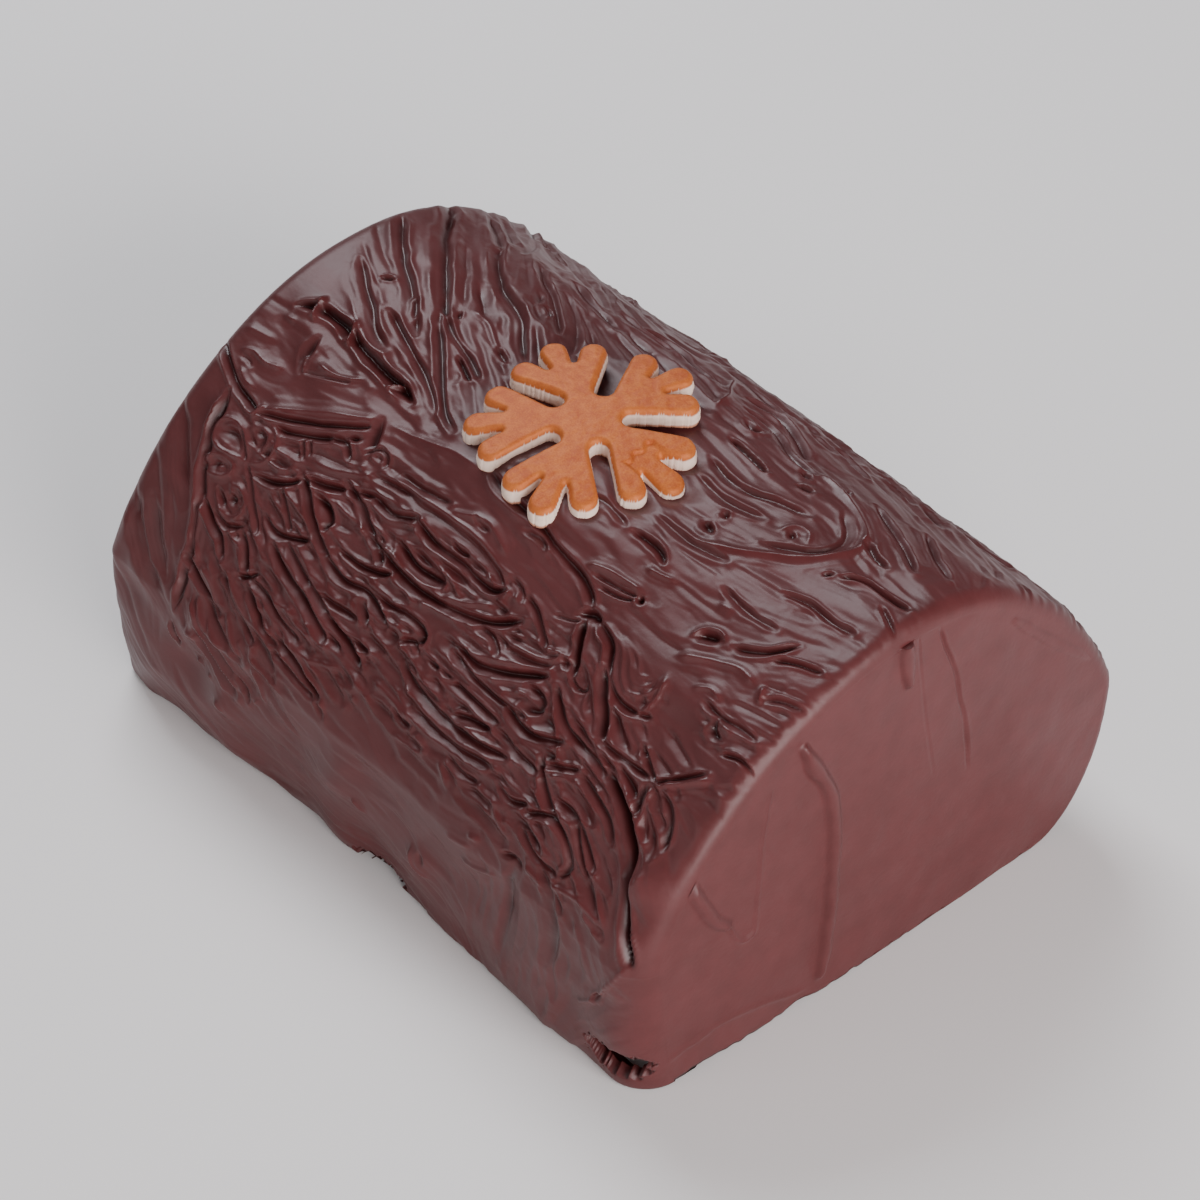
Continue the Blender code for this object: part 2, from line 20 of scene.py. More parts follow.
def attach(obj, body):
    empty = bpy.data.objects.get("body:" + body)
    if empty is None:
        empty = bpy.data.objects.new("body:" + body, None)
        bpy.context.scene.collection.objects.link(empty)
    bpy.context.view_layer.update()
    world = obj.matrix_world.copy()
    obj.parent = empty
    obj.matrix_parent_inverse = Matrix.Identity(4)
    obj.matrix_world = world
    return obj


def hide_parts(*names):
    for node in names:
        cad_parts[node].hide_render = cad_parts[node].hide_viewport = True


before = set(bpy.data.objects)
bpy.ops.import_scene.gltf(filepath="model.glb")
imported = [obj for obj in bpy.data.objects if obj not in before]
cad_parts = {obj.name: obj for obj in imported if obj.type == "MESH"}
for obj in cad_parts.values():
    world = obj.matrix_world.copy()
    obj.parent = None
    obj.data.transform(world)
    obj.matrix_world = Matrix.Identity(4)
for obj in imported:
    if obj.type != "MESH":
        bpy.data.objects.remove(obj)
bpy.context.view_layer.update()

log = logging.getLogger("yule_log")

MM = 0.001

FRONT_END = 85.0
BACK_END = -87.2
HEIGHT = 89.6
WIDEST_HEIGHT = 36.7
BROAD_SIDE = 73.6
NARROW_SIDE = 61.9
BROAD_FOOT = 69.7
NARROW_FOOT = 42.5
SIDE_POWER = 2.106
TOP_POWER = 1.214
CROWN_Y = 8.26
MIDDLE_X = 0.55
BACK_END_SHIFT = -2.6

COAT_THICKNESS = 5.2
FRONT_RIM_RADIUS = 3.6
BACK_RIM_RADIUS = 4.6
FRONT_CORNER_RADIUS = 8.5

FLAKE_CENTRE = (-1.2, -11.6, 93.8)
FLAKE_SLOPE = (-0.036, 0.100)
FLAKE_DROOP = 0.0035
FLAKE_TURN = 153.9
ARM_SWINGS = (4.0, -1.0, -2.0, -3.5, 2.0)
ARM_SIDES = (4.0, 2.5, 2.2, 3.4, 5.2)
FLAKE_ARMS = len(ARM_SWINGS)
FLAKE_THICKNESS = 4.6
FLAKE_EDGE_RADIUS = 1.0
LOBE_RADIUS = 2.9
LOBE_TAPER = 6.0
TIP_REACH = 22.9
SIDE_TIP = (19.2, 7.5)
SIDE_SLANT = 35.0
NOTCH_REACH = 9.1
FORK_RADIUS = 0.5
LOBE_STEPS = 16
NOTCH_STEPS = 9

Point = tuple[float, float]


class Form(Enum):
    """What a stroke leaves behind."""

    GROOVE = "groove"
    RIDGE = "ridge"
    BEAD = "bead"


@dataclass(frozen=True)
class Stroke:
    """One pull of the knife or fork over the chocolate.

    Args:
        form: what it leaves.
        width: half the width of the trough or ridge, in millimetres.
        depth: how deep it cuts, or how high it stands.
        lips: heights of the lip on the upper side and on the lower side of a stroke drawn left to right.
        route: places (along, around) that it passes, in millimetres.
        grain: height of the fine scratches in its floor.
        crease: where its lowest line runs, from -1 at the upper lip to 1 at the lower one.
    """

    form: Form
    width: float
    depth: float
    lips: Point
    route: tuple[Point, ...]
    grain: float = 0.08
    crease: float = -0.45


@dataclass(frozen=True)
class Mound:
    """A raised or, where its height is negative, a sunken place on the coat, in millimetres."""

    along: float
    around: float
    length: float
    breadth: float
    height: float


def groove(width: float, depth: float, upper: float, lower: float, *route: Point) -> Stroke:
    """A trough with its two lips."""
    return Stroke(Form.GROOVE, width, depth, (upper, lower), route)


def ridge(width: float, height: float, *route: Point) -> Stroke:
    """A raised, sharp-backed line of chocolate."""
    return Stroke(Form.RIDGE, width, height, (0.0, 0.0), route)


def bead(width: float, height: float, *route: Point) -> Stroke:
    """A round-backed run, such as a drip."""
    return Stroke(Form.BEAD, width, height, (0.0, 0.0), route)


SWEPT_BACK = (
    groove(2.0, 1.5, 0.5, 0.5, (-86, -24), (-79, -18), (-73, -11), (-66, -5), (-59, 1), (-52, 7), (-46, 12)),
    groove(1.8, 1.3, 0.5, 0.4, (-66, -22), (-60, -15), (-52, -9), (-46, -6), (-39, -3), (-33, 2), (-27, 6)),
    groove(1.7, 1.2, 0.5, 0.4, (-84, -8), (-77, -2), (-70, 3), (-63, 7), (-56, 12), (-50, 16)),
    groove(1.6, 1.2, 0.4, 0.4, (-77, 9), (-71, 13), (-64, 17), (-58, 21), (-52, 23)),
    groove(1.2, 1.4, 0.5, 0.5, (-52, 8), (-46, 13), (-41, 17), (-35, 22), (-28, 27), (-22, 29)),
    groove(1.1, 1.2, 0.5, 0.5, (-50, 8), (-44, 11), (-37, 13), (-30, 16)),
    groove(1.2, 1.3, 0.5, 0.4, (-60, 15), (-52, 18), (-44, 21), (-37, 24), (-30, 28)),
    groove(1.4, 1.0, 0.4, 0.3, (-56, -24), (-49, -19), (-42, -15), (-35, -10), (-30, -6)),
    groove(1.5, 1.0, 0.4, 0.4, (-48, -28), (-40, -24), (-33, -22), (-26, -20)),
    groove(1.6, 1.1, 0.4, 0.4, (-80, -32), (-72, -26), (-64, -20)),
    groove(0.7, 2.2, 0.5, 0.3, (-38, 14.7), (-34, 16.3), (-31, 17.6)),
    groove(0.8, 1.6, 0.4, 0.3, (-35.5, 6.6), (-33, 7.4), (-30, 8.4)),
    groove(0.8, 1.2, 0.5, 0.2, (-39.4, -10.8), (-37.2, -10.2), (-36.2, -8.8)),
    groove(0.8, 1.3, 0.4, 0.3, (-48.8, 4.8), (-47.2, 6.8)),
    groove(0.8, 1.2, 0.7, 0.3, (-69, 9.6), (-66.4, 8.2)),
    groove(0.9, 1.1, 0.6, 0.3, (-58.8, 8.6), (-56.4, 10.6), (-54, 13.2)),
    ridge(0.8, 0.8, (-47, 2.6), (-42, 2.8), (-37, 5.4), (-34, 7)),
)

SLOT = (
    groove(1.5, 2.6, 0.7, 0.9, (-77, 26.6), (-72, 24.3), (-66, 23.8), (-61, 24.8), (-54, 26.3), (-47, 27.2),
           (-41, 27.8), (-36.2, 29)),
    ridge(0.5, 1.9, (-73.4, 21), (-72.6, 24.4), (-70.6, 27.2)),
    ridge(0.5, 1.9, (-62.4, 21.4), (-61.3, 24), (-59.6, 27)),
    ridge(0.35, 1.6, (-43.8, 29.8), (-42.7, 28.3), (-41.6, 26.6)),
    groove(1.7, 1.5, 0.3, 0.4, (-66.4, 29.6), (-66, 33.6), (-64.2, 37.4)),
    ridge(0.5, 0.9, (-65, 33.6), (-64.6, 35.4), (-63.2, 37.2)),
    ridge(0.9, 1.1, (-61.4, 33.8), (-56.4, 34), (-52.6, 32.6), (-49.8, 31)),
    groove(0.5, 0.6, 0.2, 0.5, (-63, 37), (-58, 35.6), (-52, 33.2)),
    ridge(1.3, 0.6, (-84, 37), (-79, 36), (-74.4, 35.2)),
    ridge(0.8, 0.7, (-78, 29.8), (-74, 29.6)),
    ridge(0.8, 0.8, (-80.6, 41.4), (-77, 40), (-73, 40.4), (-68.4, 39.2)),
    groove(0.8, 1.0, 0.2, 0.4, (-79.6, 42.6), (-77.2, 42.4), (-75.4, 43.2)),
    ridge(0.9, 0.8, (-77.4, 44.4), (-74, 46), (-70.4, 46.4)),
    groove(1.0, 1.7, 0.3, 0.7, (-87, 42), (-81, 45.4), (-75, 48.2), (-70, 49.2), (-66, 50.2)),
    ridge(1.4, 1.0, (-65.4, 48.8), (-59, 45.2), (-52, 41.8), (-45, 38.8), (-38.6, 35.8)),
    groove(0.9, 1.4, 0.5, 0.9, (-65.6, 49.8), (-59, 47.6), (-53, 45.1), (-47, 42.5), (-41, 39.2), (-37.4, 37.4)),
    groove(1.0, 1.4, 0.3, 0.5, (-65, 51.4), (-57, 49.8), (-50, 47), (-44, 44), (-38.4, 41)),
    groove(1.8, 1.8, 0.2, 0.2, (-38.8, 35.8), (-37.4, 39.6), (-35.2, 43.8)),
    ridge(0.5, 1.3, (-66.6, 51.4), (-66.3, 49.8), (-65, 47.6)),
    ridge(1.1, 0.7, (-36, 35.2), (-30, 34.6), (-25, 34), (-18, 33)),
)

NET = (
    groove(1.3, 1.6, 0.2, 1.1, (-76, 50), (-74.4, 54.6), (-73.8, 58.4), (-71.8, 62.6), (-70, 67.4), (-67, 71.6),
           (-65, 76), (-63, 80.6), (-62.4, 85), (-61.8, 90), (-61.4, 96)),
    groove(1.6, 1.1, 0.4, 0.4, (-71, 57.6), (-67, 57), (-64, 58.6)),
    ridge(0.7, 1.0, (-61.4, 59.8), (-64.4, 55.8), (-68, 54), (-71.6, 54.8), (-73, 57.2), (-71.8, 60),
          (-68, 60.8), (-64.4, 60.2), (-61.2, 59.6)),
    groove(0.5, 1.0, 0.4, 0.1, (-66.6, 55), (-64, 57), (-61.6, 59.6)),
    groove(1.5, 1.1, 0.3, 0.3, (-63.4, 53.4), (-60.6, 53.4), (-60, 56)),
    ridge(0.6, 0.7, (-62.4, 51.8), (-59.6, 52), (-58.4, 54), (-59, 56.6)),
    ridge(0.7, 0.9, (-64.4, 50.6), (-60, 50.2), (-57, 51.8), (-56, 55), (-57.4, 58), (-60.6, 59.4)),
    groove(1.5, 1.0, 0.3, 0.2, (-69, 64.4), (-66, 64), (-64.4, 63.6)),
    ridge(0.7, 1.0, (-70.6, 66), (-70, 63), (-67, 61.6), (-63.6, 61.8), (-63, 63.6), (-65, 65.6), (-69, 66.6)),
    ridge(0.9, 0.7, (-67, 64.6), (-65, 63.6)),
    groove(1.6, 1.1, 0.2, 0.2, (-60.6, 68), (-58, 68.6)),
    ridge(0.8, 0.9, (-62, 65.4), (-58, 65.4), (-55.6, 67.6), (-55.8, 70.4), (-58, 71.6), (-62, 71)),
    groove(0.5, 1.1, 0.4, 0.3, (-51.8, 48.4), (-49, 52)),
    groove(0.5, 1.0, 0.3, 0.3, (-50.2, 47.6), (-48, 50.8)),
    groove(0.6, 1.2, 0.7, 0.3, (-60.6, 60.2), (-56.5, 63.6), (-53, 67.2), (-49, 70.8)),
    groove(0.6, 1.2, 0.6, 0.4, (-49.8, 59), (-46.4, 62), (-42, 66.2)),
    groove(1.0, 1.5, 0.8, 0.7, (-58, 61), (-52.4, 60), (-48.4, 57.8), (-45.4, 55.2), (-40.4, 53.6), (-34, 51.4),
           (-28, 49.4), (-20, 48.8)),
    groove(1.0, 1.5, 0.5, 0.5, (-50.4, 66.4), (-45.6, 68.4), (-41, 67.2), (-36.2, 65.2)),
    groove(0.8, 1.2, 0.5, 0.5, (-62.4, 72.6), (-57.4, 73.6), (-52.6, 71)),
    groove(1.3, 1.8, 0.7, 0.6, (-40.6, 56.6), (-37, 57.2), (-34.4, 59.2), (-34.8, 61.2)),
    groove(1.1, 1.6, 0.9, 0.6, (-47.4, 54.4), (-43, 57.2), (-39, 60.4), (-34.6, 63.4), (-29, 66), (-23.5, 67.4),
           (-16, 67)),
    groove(1.1, 1.5, 0.7, 0.6, (-36.4, 50.4), (-30, 52.4), (-25.4, 54.8), (-20, 57.6)),
    groove(0.7, 1.0, 0.5, 0.3, (-36.4, 43.4), (-34, 40.8), (-31.2, 41.2), (-30, 43.4)),
    groove(0.9, 1.1, 0.7, 0.4, (-46, 44.8), (-41.8, 44), (-38.6, 46.6)),
    ridge(1.2, 0.8, (-47.4, 50.8), (-41, 50), (-35, 47.8), (-29, 45.6), (-20, 45)),
)

FLANK_BACK = (
    groove(1.0, 1.4, 0.6, 0.7, (-41.4, 68.4), (-35, 71.2), (-28.6, 73.2), (-22, 72.6), (-15, 72.2)),
    groove(1.1, 1.5, 0.7, 0.8, (-44.4, 70.4), (-38, 73.6), (-31, 75.6), (-25, 78), (-20, 80.4)),
    ridge(0.8, 1.0, (-66, 72.4), (-64, 76.6), (-62.4, 80.6), (-59.6, 83.8)),
    groove(1.0, 1.5, 0.5, 0.9, (-66.4, 71.6), (-61, 75), (-57, 76.8), (-54.2, 80.4)),
    groove(1.1, 1.6, 0.6, 0.9, (-63.6, 84.2), (-58, 87), (-54, 88.8), (-49, 91)),
    ridge(1.0, 0.9, (-58.6, 84), (-54, 86), (-50.6, 89.4)),
    ridge(1.0, 1.1, (-56.4, 90), (-54.2, 93.4), (-50.4, 95.6), (-44.6, 96.4)),
    groove(1.2, 1.3, 0.3, 0.4, (-54.6, 89.6), (-49.4, 93), (-43, 95.6)),
    ridge(0.9, 0.9, (-47.4, 89), (-43.8, 93), (-39.6, 95.6)),
    groove(1.0, 1.5, 0.6, 0.6, (-53.6, 72.2), (-49.6, 75), (-47, 78.6), (-45.8, 81.4)),
    groove(0.9, 1.7, 0.5, 0.4, (-48.6, 80.8), (-45.4, 79.6), (-43.4, 77.4)),
    groove(1.1, 1.6, 0.7, 0.8, (-45.4, 80.8), (-41, 83.6), (-36, 87), (-29, 88.6)),
    groove(1.0, 1.4, 0.7, 0.6, (-45, 79.4), (-39, 80.4), (-33.6, 82.6), (-26, 84.2)),
    groove(1.1, 1.6, 0.9, 0.6, (-32.6, 86.4), (-26, 88), (-20, 90), (-15, 91.6)),
    groove(0.9, 1.2, 0.6, 0.5, (-32, 89.4), (-24, 91), (-16.6, 92.4)),
    ridge(1.1, 0.8, (-50.4, 81.8), (-45, 85.6), (-40, 87.4), (-33, 88.4)),
    ridge(1.2, 1.0, (-57.4, 99.2), (-52.4, 98.2)),
    groove(1.0, 2.4, 0.4, 0.8, (-62.2, 100.4), (-61.4, 103), (-60.2, 105)),
    ridge(0.9, 0.9, (-36, 95.8), (-33.2, 99), (-31.4, 103.4)),
    ridge(0.5, 0.9, (-34.8, 105.4), (-33.6, 103.6)),
    groove(0.9, 1.0, 0.4, 0.4, (-41, 101), (-37.4, 103.4), (-36.6, 106)),
    ridge(0.8, 0.8, (-54.4, 107), (-53.6, 105.8)),
    ridge(0.8, 0.8, (-50, 108.2), (-49.4, 106.8)),
    ridge(1.2, 0.9, (-46.4, 111), (-43.6, 113.2)),
    groove(3.2, 0.9, 0.2, 0.2, (-86, 58), (-80, 64), (-75, 70), (-70, 75)),
    groove(3.4, 1.0, 0.2, 0.3, (-86, 80), (-79, 87), (-71, 94), (-64, 99)),
    groove(2.8, 0.8, 0.2, 0.3, (-79, 79), (-73.6, 86), (-67.4, 92)),
)

FLANK_MIDDLE = (
    groove(1.2, 1.7, 0.6, 0.5, (-7.4, 31.4), (-2.6, 33), (3, 33.5), (9, 33.8), (14, 35), (20, 36), (25, 36.8),
           (29, 38.6), (31.6, 41)),
    ridge(1.3, 0.7, (-31, 34.8), (-24, 33.4), (-18, 32.4), (-10, 32.2)),
    groove(0.9, 1.0, 0.3, 0.3, (7.8, 36.6), (11.6, 36), (14.6, 36.8)),
    groove(0.6, 1.8, 0.6, 0.2, (-3.8, 40.2), (-1, 41), (1.8, 40.8)),
    ridge(1.1, 0.9, (-10.4, 43.2), (-5, 40.8), (0, 39.5), (4, 40.6), (8.4, 42.6)),
    groove(1.1, 1.1, 0.6, 0.5, (-31, 45.8), (-22, 44.8), (-15, 45), (-8, 44.6), (0, 44.8), (7, 46), (12.6, 48.6)),
    ridge(0.9, 0.8, (-20, 43.8), (-14, 43.3), (-6, 43), (1, 43.2), (8, 44.8), (14, 45.2)),
    groove(0.9, 1.4, 0.5, 0.4, (11.8, 45.4), (15.5, 46.2), (17.4, 47.8)),
    groove(0.9, 1.2, 0.7, 0.4, (17, 46.4), (22, 48), (28.4, 52.2)),
    groove(1.0, 1.4, 0.6, 0.7, (-28.6, 49.4), (-22, 50), (-18, 48.8), (-14.6, 47.2)),
    groove(0.7, 1.5, 0.4, 0.2, (-4.8, 47), (-2, 47.6), (0.6, 47.2)),
    groove(1.0, 1.5, 0.7, 0.7, (-15.6, 47.8), (-11, 49.2), (-6, 49.6), (0, 49.3), (4, 50), (9, 50), (12.8, 48)),
    groove(1.1, 1.6, 0.7, 0.6, (-25, 56.4), (-16, 58.2), (-8, 59.4), (0, 58.8), (8, 57.2), (14, 55), (20, 50.8)),
    groove(1.3, 1.9, 0.6, 0.7, (-16.6, 53.6), (-11, 55.6), (-6, 55.7), (-0.6, 54.8)),
    ridge(0.6, 1.2, (-0.6, 56.4), (-0.4, 54.4), (-2, 53)),
    ridge(1.0, 1.0, (0, 56.8), (5, 55.6), (9, 53.6), (12.6, 51.8)),
    groove(0.9, 1.4, 0.5, 0.5, (11.6, 57.6), (16, 57.4), (20.4, 59.6)),
    groove(1.0, 1.7, 0.5, 0.5, (-20.6, 57.4), (-17.2, 59.8)),
    groove(0.8, 1.4, 0.7, 0.5, (-28.6, 62.6), (-22, 62.7), (-17, 61.6), (-13.6, 60)),
    groove(1.1, 1.5, 0.6, 0.6, (-20.6, 64.8), (-12, 65.8), (-5, 64.8), (0, 65.2), (1.6, 66.8), (-2.4, 68.4)),
    groove(1.2, 1.7, 0.6, 0.8, (9.6, 63.4), (16, 63.8), (22, 62), (27, 59.6), (32.6, 56.6)),
    ridge(0.8, 0.9, (12.4, 62.8), (18, 61), (24, 58.6), (28.4, 56.8)),
    groove(0.8, 1.2, 0.7, 0.5, (20, 57.3), (26, 56.4), (31.8, 54.4)),
    ridge(0.8, 1.0, (20, 55.8), (26, 54.8), (31.4, 53), (32.8, 50.2)),
    groove(1.0, 1.4, 0.6, 0.5, (9.4, 64.8), (18, 66.4), (26, 66.6), (34, 65.8)),
    groove(0.8, 1.3, 0.4, 0.4, (-3, 69.6), (0, 68.4), (2.4, 69.8)),
    groove(1.1, 1.4, 0.5, 0.4, (-17.6, 67.2), (-15, 69.4), (-12.6, 71.8)),
    groove(1.2, 1.6, 0.7, 0.6, (-31, 65.8), (-24, 67.4), (-18, 66.4), (-13, 67.4), (-8, 69.2)),
    groove(1.0, 1.5, 0.8, 0.6, (-31, 72.4), (-24, 75), (-17, 76.6), (-9, 76.2)),
    groove(1.1, 1.6, 0.7, 0.7, (-0.6, 72.6), (4, 75.4), (10, 76.6), (18, 77), (26, 76.4), (35, 74.8)),
    groove(1.0, 1.5, 0.7, 0.7, (17.4, 75), (22, 73.6), (27.6, 72.4)),
    groove(1.0, 1.3, 0.6, 0.6, (4.4, 69.4), (12, 69.8), (20, 70), (29, 70.4)),
    ridge(0.35, 0.9, (8, 69.2), (11, 70), (14.4, 69)),
    ridge(1.2, 0.9, (-5, 80.4), (2, 81), (9, 81.8)),
    groove(0.9, 1.3, 0.6, 0.5, (3.2, 82.6), (6, 83.6), (9, 83.4)),
    groove(1.0, 1.4, 0.6, 0.5, (21, 82.6), (26, 83.6), (31, 83)),
    groove(1.1, 1.3, 0.6, 0.7, (7.4, 79.8), (16, 80.4), (25, 79.6), (33, 78)),
    groove(1.2, 1.6, 0.7, 0.5, (-23, 75.6), (-15, 77.6), (-9, 80.4)),
    ridge(1.0, 0.9, (-22, 85.8), (-17.4, 84.2), (-13.4, 83)),
    ridge(1.0, 0.8, (10.4, 83.6), (15, 84.4)),
    ridge(1.1, 1.0, (19.4, 84.8), (22, 86), (24.4, 88)),
    ridge(1.2, 0.7, (-7.8, 87), (-6.4, 85.6)),
    ridge(0.9, 1.2, (15.2, 111), (16.4, 115.2), (20.4, 117.2)),
    groove(1.3, 1.1, 0.2, 0.2, (17.8, 111), (18.6, 113.6)),
    ridge(0.6, 0.9, (-3.4, 110.4), (-1.8, 112), (-0.4, 113.4)),
    ridge(0.8, 0.6, (27.6, 96.8), (31, 96.4), (35.4, 95.2)),
)

JUNCTION = (
    groove(1.1, 2.0, 0.6, 0.5, (26.2, 23), (30, 22.6), (34, 22.9), (36.6, 24.2)),
    ridge(0.9, 0.9, (34.6, 27), (38, 26.4), (42, 25.2)),
    groove(0.5, 1.7, 0.5, 0.6, (26.6, 34.6), (31, 34), (35, 33.4), (37.8, 32.7)),
    groove(0.45, 1.3, 0.3, 0.6, (29.6, 35.8), (34, 35.2), (37.6, 33.8)),
    groove(1.0, 2.2, 0.3, 0.4, (38, 32.6), (39.4, 33.4)),
    ridge(0.8, 0.9, (24, 34), (29, 32.3), (34, 31.6), (38.4, 31.3)),
    groove(1.5, 1.9, 0.2, 0.5, (53.2, 31.4), (55.8, 30.2), (58.6, 29.4)),
    ridge(0.5, 1.0, (52.6, 32.4), (54.2, 29), (57.4, 27.7), (60, 28.6)),
    ridge(1.2, 0.9, (53.4, 36.8), (58, 34.6), (62, 32.8), (67, 31.3), (72.6, 32)),
    groove(1.0, 1.7, 0.5, 0.5, (72.2, 20), (70.6, 23), (68.4, 25.6), (65, 27.6), (61.6, 28.8)),
    groove(0.9, 1.4, 0.6, 0.3, (70.8, 26), (75, 23.6), (80.4, 21.8)),
    ridge(0.6, 1.4, (73.6, 31), (74.7, 33.2), (75.8, 34.4)),
    groove(1.1, 1.0, 0.5, 0.4, (75.6, 33.2), (80, 31), (86, 30)),
    ridge(0.9, 0.9, (61.4, 39.8), (65, 38), (68.6, 38.6)),
    groove(0.9, 1.3, 0.5, 0.5, (65.4, 40.8), (71, 41.2), (76, 40.6), (80.6, 40.4)),
    groove(1.2, 1.9, 0.3, 0.4, (70.2, 41.8), (71, 44.4), (74, 44.9)),
    ridge(0.7, 0.9, (72, 42.2), (75.6, 42.4)),
    groove(0.8, 1.3, 0.8, 0.2, (75.6, 46.8), (80, 45.3), (83.4, 46), (84.7, 47.8), (83.2, 49.6)),
    groove(1.6, 2.0, 0.3, 0.3, (29.8, 43), (32.4, 41.3), (35.4, 42)),
    groove(0.5, 1.5, 0.3, 0.3, (25, 45.8), (28.6, 44.7), (31, 43.4)),
    groove(1.1, 2.0, 0.8, 0.7, (31.4, 43), (33.5, 46.4), (35.8, 50), (37.4, 53.4)),
    groove(1.1, 1.8, 0.3, 1.1, (34.6, 41.6), (40, 43.4), (43, 47), (46, 50), (50, 51.4), (55.4, 51)),
    ridge(0.5, 0.6, (35.6, 40.8), (43, 42.4), (47, 46.8), (50.4, 48.6), (54, 46.8), (55.6, 43.4), (55, 41)),
    ridge(0.4, 0.45, (38, 41), (45, 42.2), (49, 46), (52, 46.4), (54, 43.6)),
    ridge(0.4, 0.4, (41, 40.6), (47, 41.8), (50.4, 44.4), (52.6, 43.4)),
    ridge(0.7, 0.9, (55.4, 50.4), (56.4, 46.4), (55.8, 41.4)),
    groove(0.5, 1.2, 0.3, 0.4, (37.2, 53.4), (39.6, 54.5), (41.8, 53.8), (41, 51.8)),
    groove(1.3, 1.8, 0.8, 0.7, (42, 48), (46, 52.4), (50, 57), (52, 60)),
    ridge(0.6, 0.7, (42.4, 53.6), (43.6, 56.6), (47, 58.4)),
    groove(0.9, 1.5, 0.6, 0.5, (51.4, 59.8), (58, 59.7), (63, 59.4), (67.4, 59)),
    groove(0.8, 1.4, 0.6, 0.4, (60, 55), (64, 57.4), (67.4, 59)),
    groove(0.9, 1.6, 0.3, 0.8, (67.6, 59), (70, 57), (72.6, 54.6), (76, 51.4)),
    ridge(0.9, 1.3, (68.8, 58.8), (71.6, 56.8), (74.4, 54.4), (77.6, 51.8)),
    ridge(0.9, 1.2, (67.6, 60), (68.2, 64), (69.8, 69)),
    groove(0.9, 1.5, 0.2, 0.6, (66.2, 60.4), (66.6, 64), (67.4, 67)),
    groove(1.0, 1.2, 0.6, 0.3, (69.6, 59.8), (73, 61), (75.6, 64), (77.2, 68.6)),
    groove(0.9, 1.6, 0.4, 0.4, (60.6, 55.6), (62.2, 56.3)),
    groove(0.8, 1.3, 0.3, 0.3, (54.6, 51), (57.8, 49.8)),
    groove(1.1, 1.7, 0.6, 0.8, (35.6, 56.8), (42, 61.4), (48, 63), (53, 63.6), (58, 65.2)),
    groove(1.5, 2.4, 0.7, 0.6, (56.4, 63.6), (63, 66.6), (68, 70), (72, 73.6), (74, 78), (76.6, 84), (80, 90),
           (82, 95)),
    ridge(0.5, 1.3, (38, 60.2), (42, 63.6), (44.4, 66.4), (46.4, 69.4)),
    groove(1.1, 1.5, 0.7, 0.6, (27.4, 66.2), (34, 68), (40, 66.8), (44.4, 64.6)),
    groove(1.3, 1.6, 0.6, 0.6, (29.6, 60.4), (34, 60.6), (35.4, 62.4), (31.4, 63.8)),
    groove(0.9, 1.4, 0.8, 0.5, (43.4, 70.4), (48, 68.4), (51, 67)),
    groove(1.1, 1.6, 0.6, 0.9, (41.6, 69.6), (45, 73.6), (49, 76.6), (54, 79), (58.6, 82.4)),
    groove(1.0, 1.5, 0.6, 0.8, (49.4, 74.6), (55, 75), (60, 77.4), (65.6, 81.4)),
    groove(0.7, 1.2, 0.4, 0.6, (56, 75.6), (60, 79.4), (65, 83.6)),
    ridge(0.8, 0.9, (45.4, 72), (49.6, 69.9), (53.4, 70.8)),
    groove(1.0, 1.4, 0.6, 0.8, (51.6, 67.4), (58, 69.4), (63, 71.4), (66.6, 74.6)),
    groove(1.1, 1.4, 0.6, 0.6, (29, 71.4), (36, 72.6), (43, 73)),
    groove(1.0, 1.4, 0.7, 0.6, (35.4, 80), (40, 81.2), (44.4, 79.4)),
    ridge(1.3, 1.1, (35.8, 83.2), (40, 86), (43.4, 87.2)),
    groove(0.9, 1.4, 0.3, 0.8, (45, 81), (51, 78.2), (56.6, 80), (60, 84), (58.4, 87)),
    groove(0.9, 1.3, 0.7, 0.5, (45.2, 84), (51, 86.8), (58, 87.4)),
    ridge(1.0, 1.1, (48.4, 89.8), (55, 90.6), (60, 89), (66, 88.2), (73.6, 89.6)),
    groove(1.0, 1.4, 0.4, 0.3, (43.4, 91.6), (47, 90.6), (49.6, 91.8)),
    groove(1.1, 1.2, 0.4, 0.4, (53.4, 88.4), (58, 91), (60.4, 95)),
    ridge(0.7, 0.8, (33.6, 93.4), (37.2, 92.5)),
    ridge(0.8, 0.9, (32.4, 100.5), (38, 99.8), (42.6, 98.2)),
    groove(3.2, 1.1, 0.2, 0.2, (48.6, 91), (47, 102), (46, 112), (44, 122)),
    groove(3.0, 0.9, 0.3, 0.2, (57.4, 92), (60, 100), (58.6, 110)),
    ridge(0.5, 0.9, (82, 93), (79.6, 98), (77.2, 102), (75, 106), (72, 110.4), (68, 114)),
    groove(0.8, 1.1, 0.3, 0.3, (75, 106.6), (73, 109.6)),
)

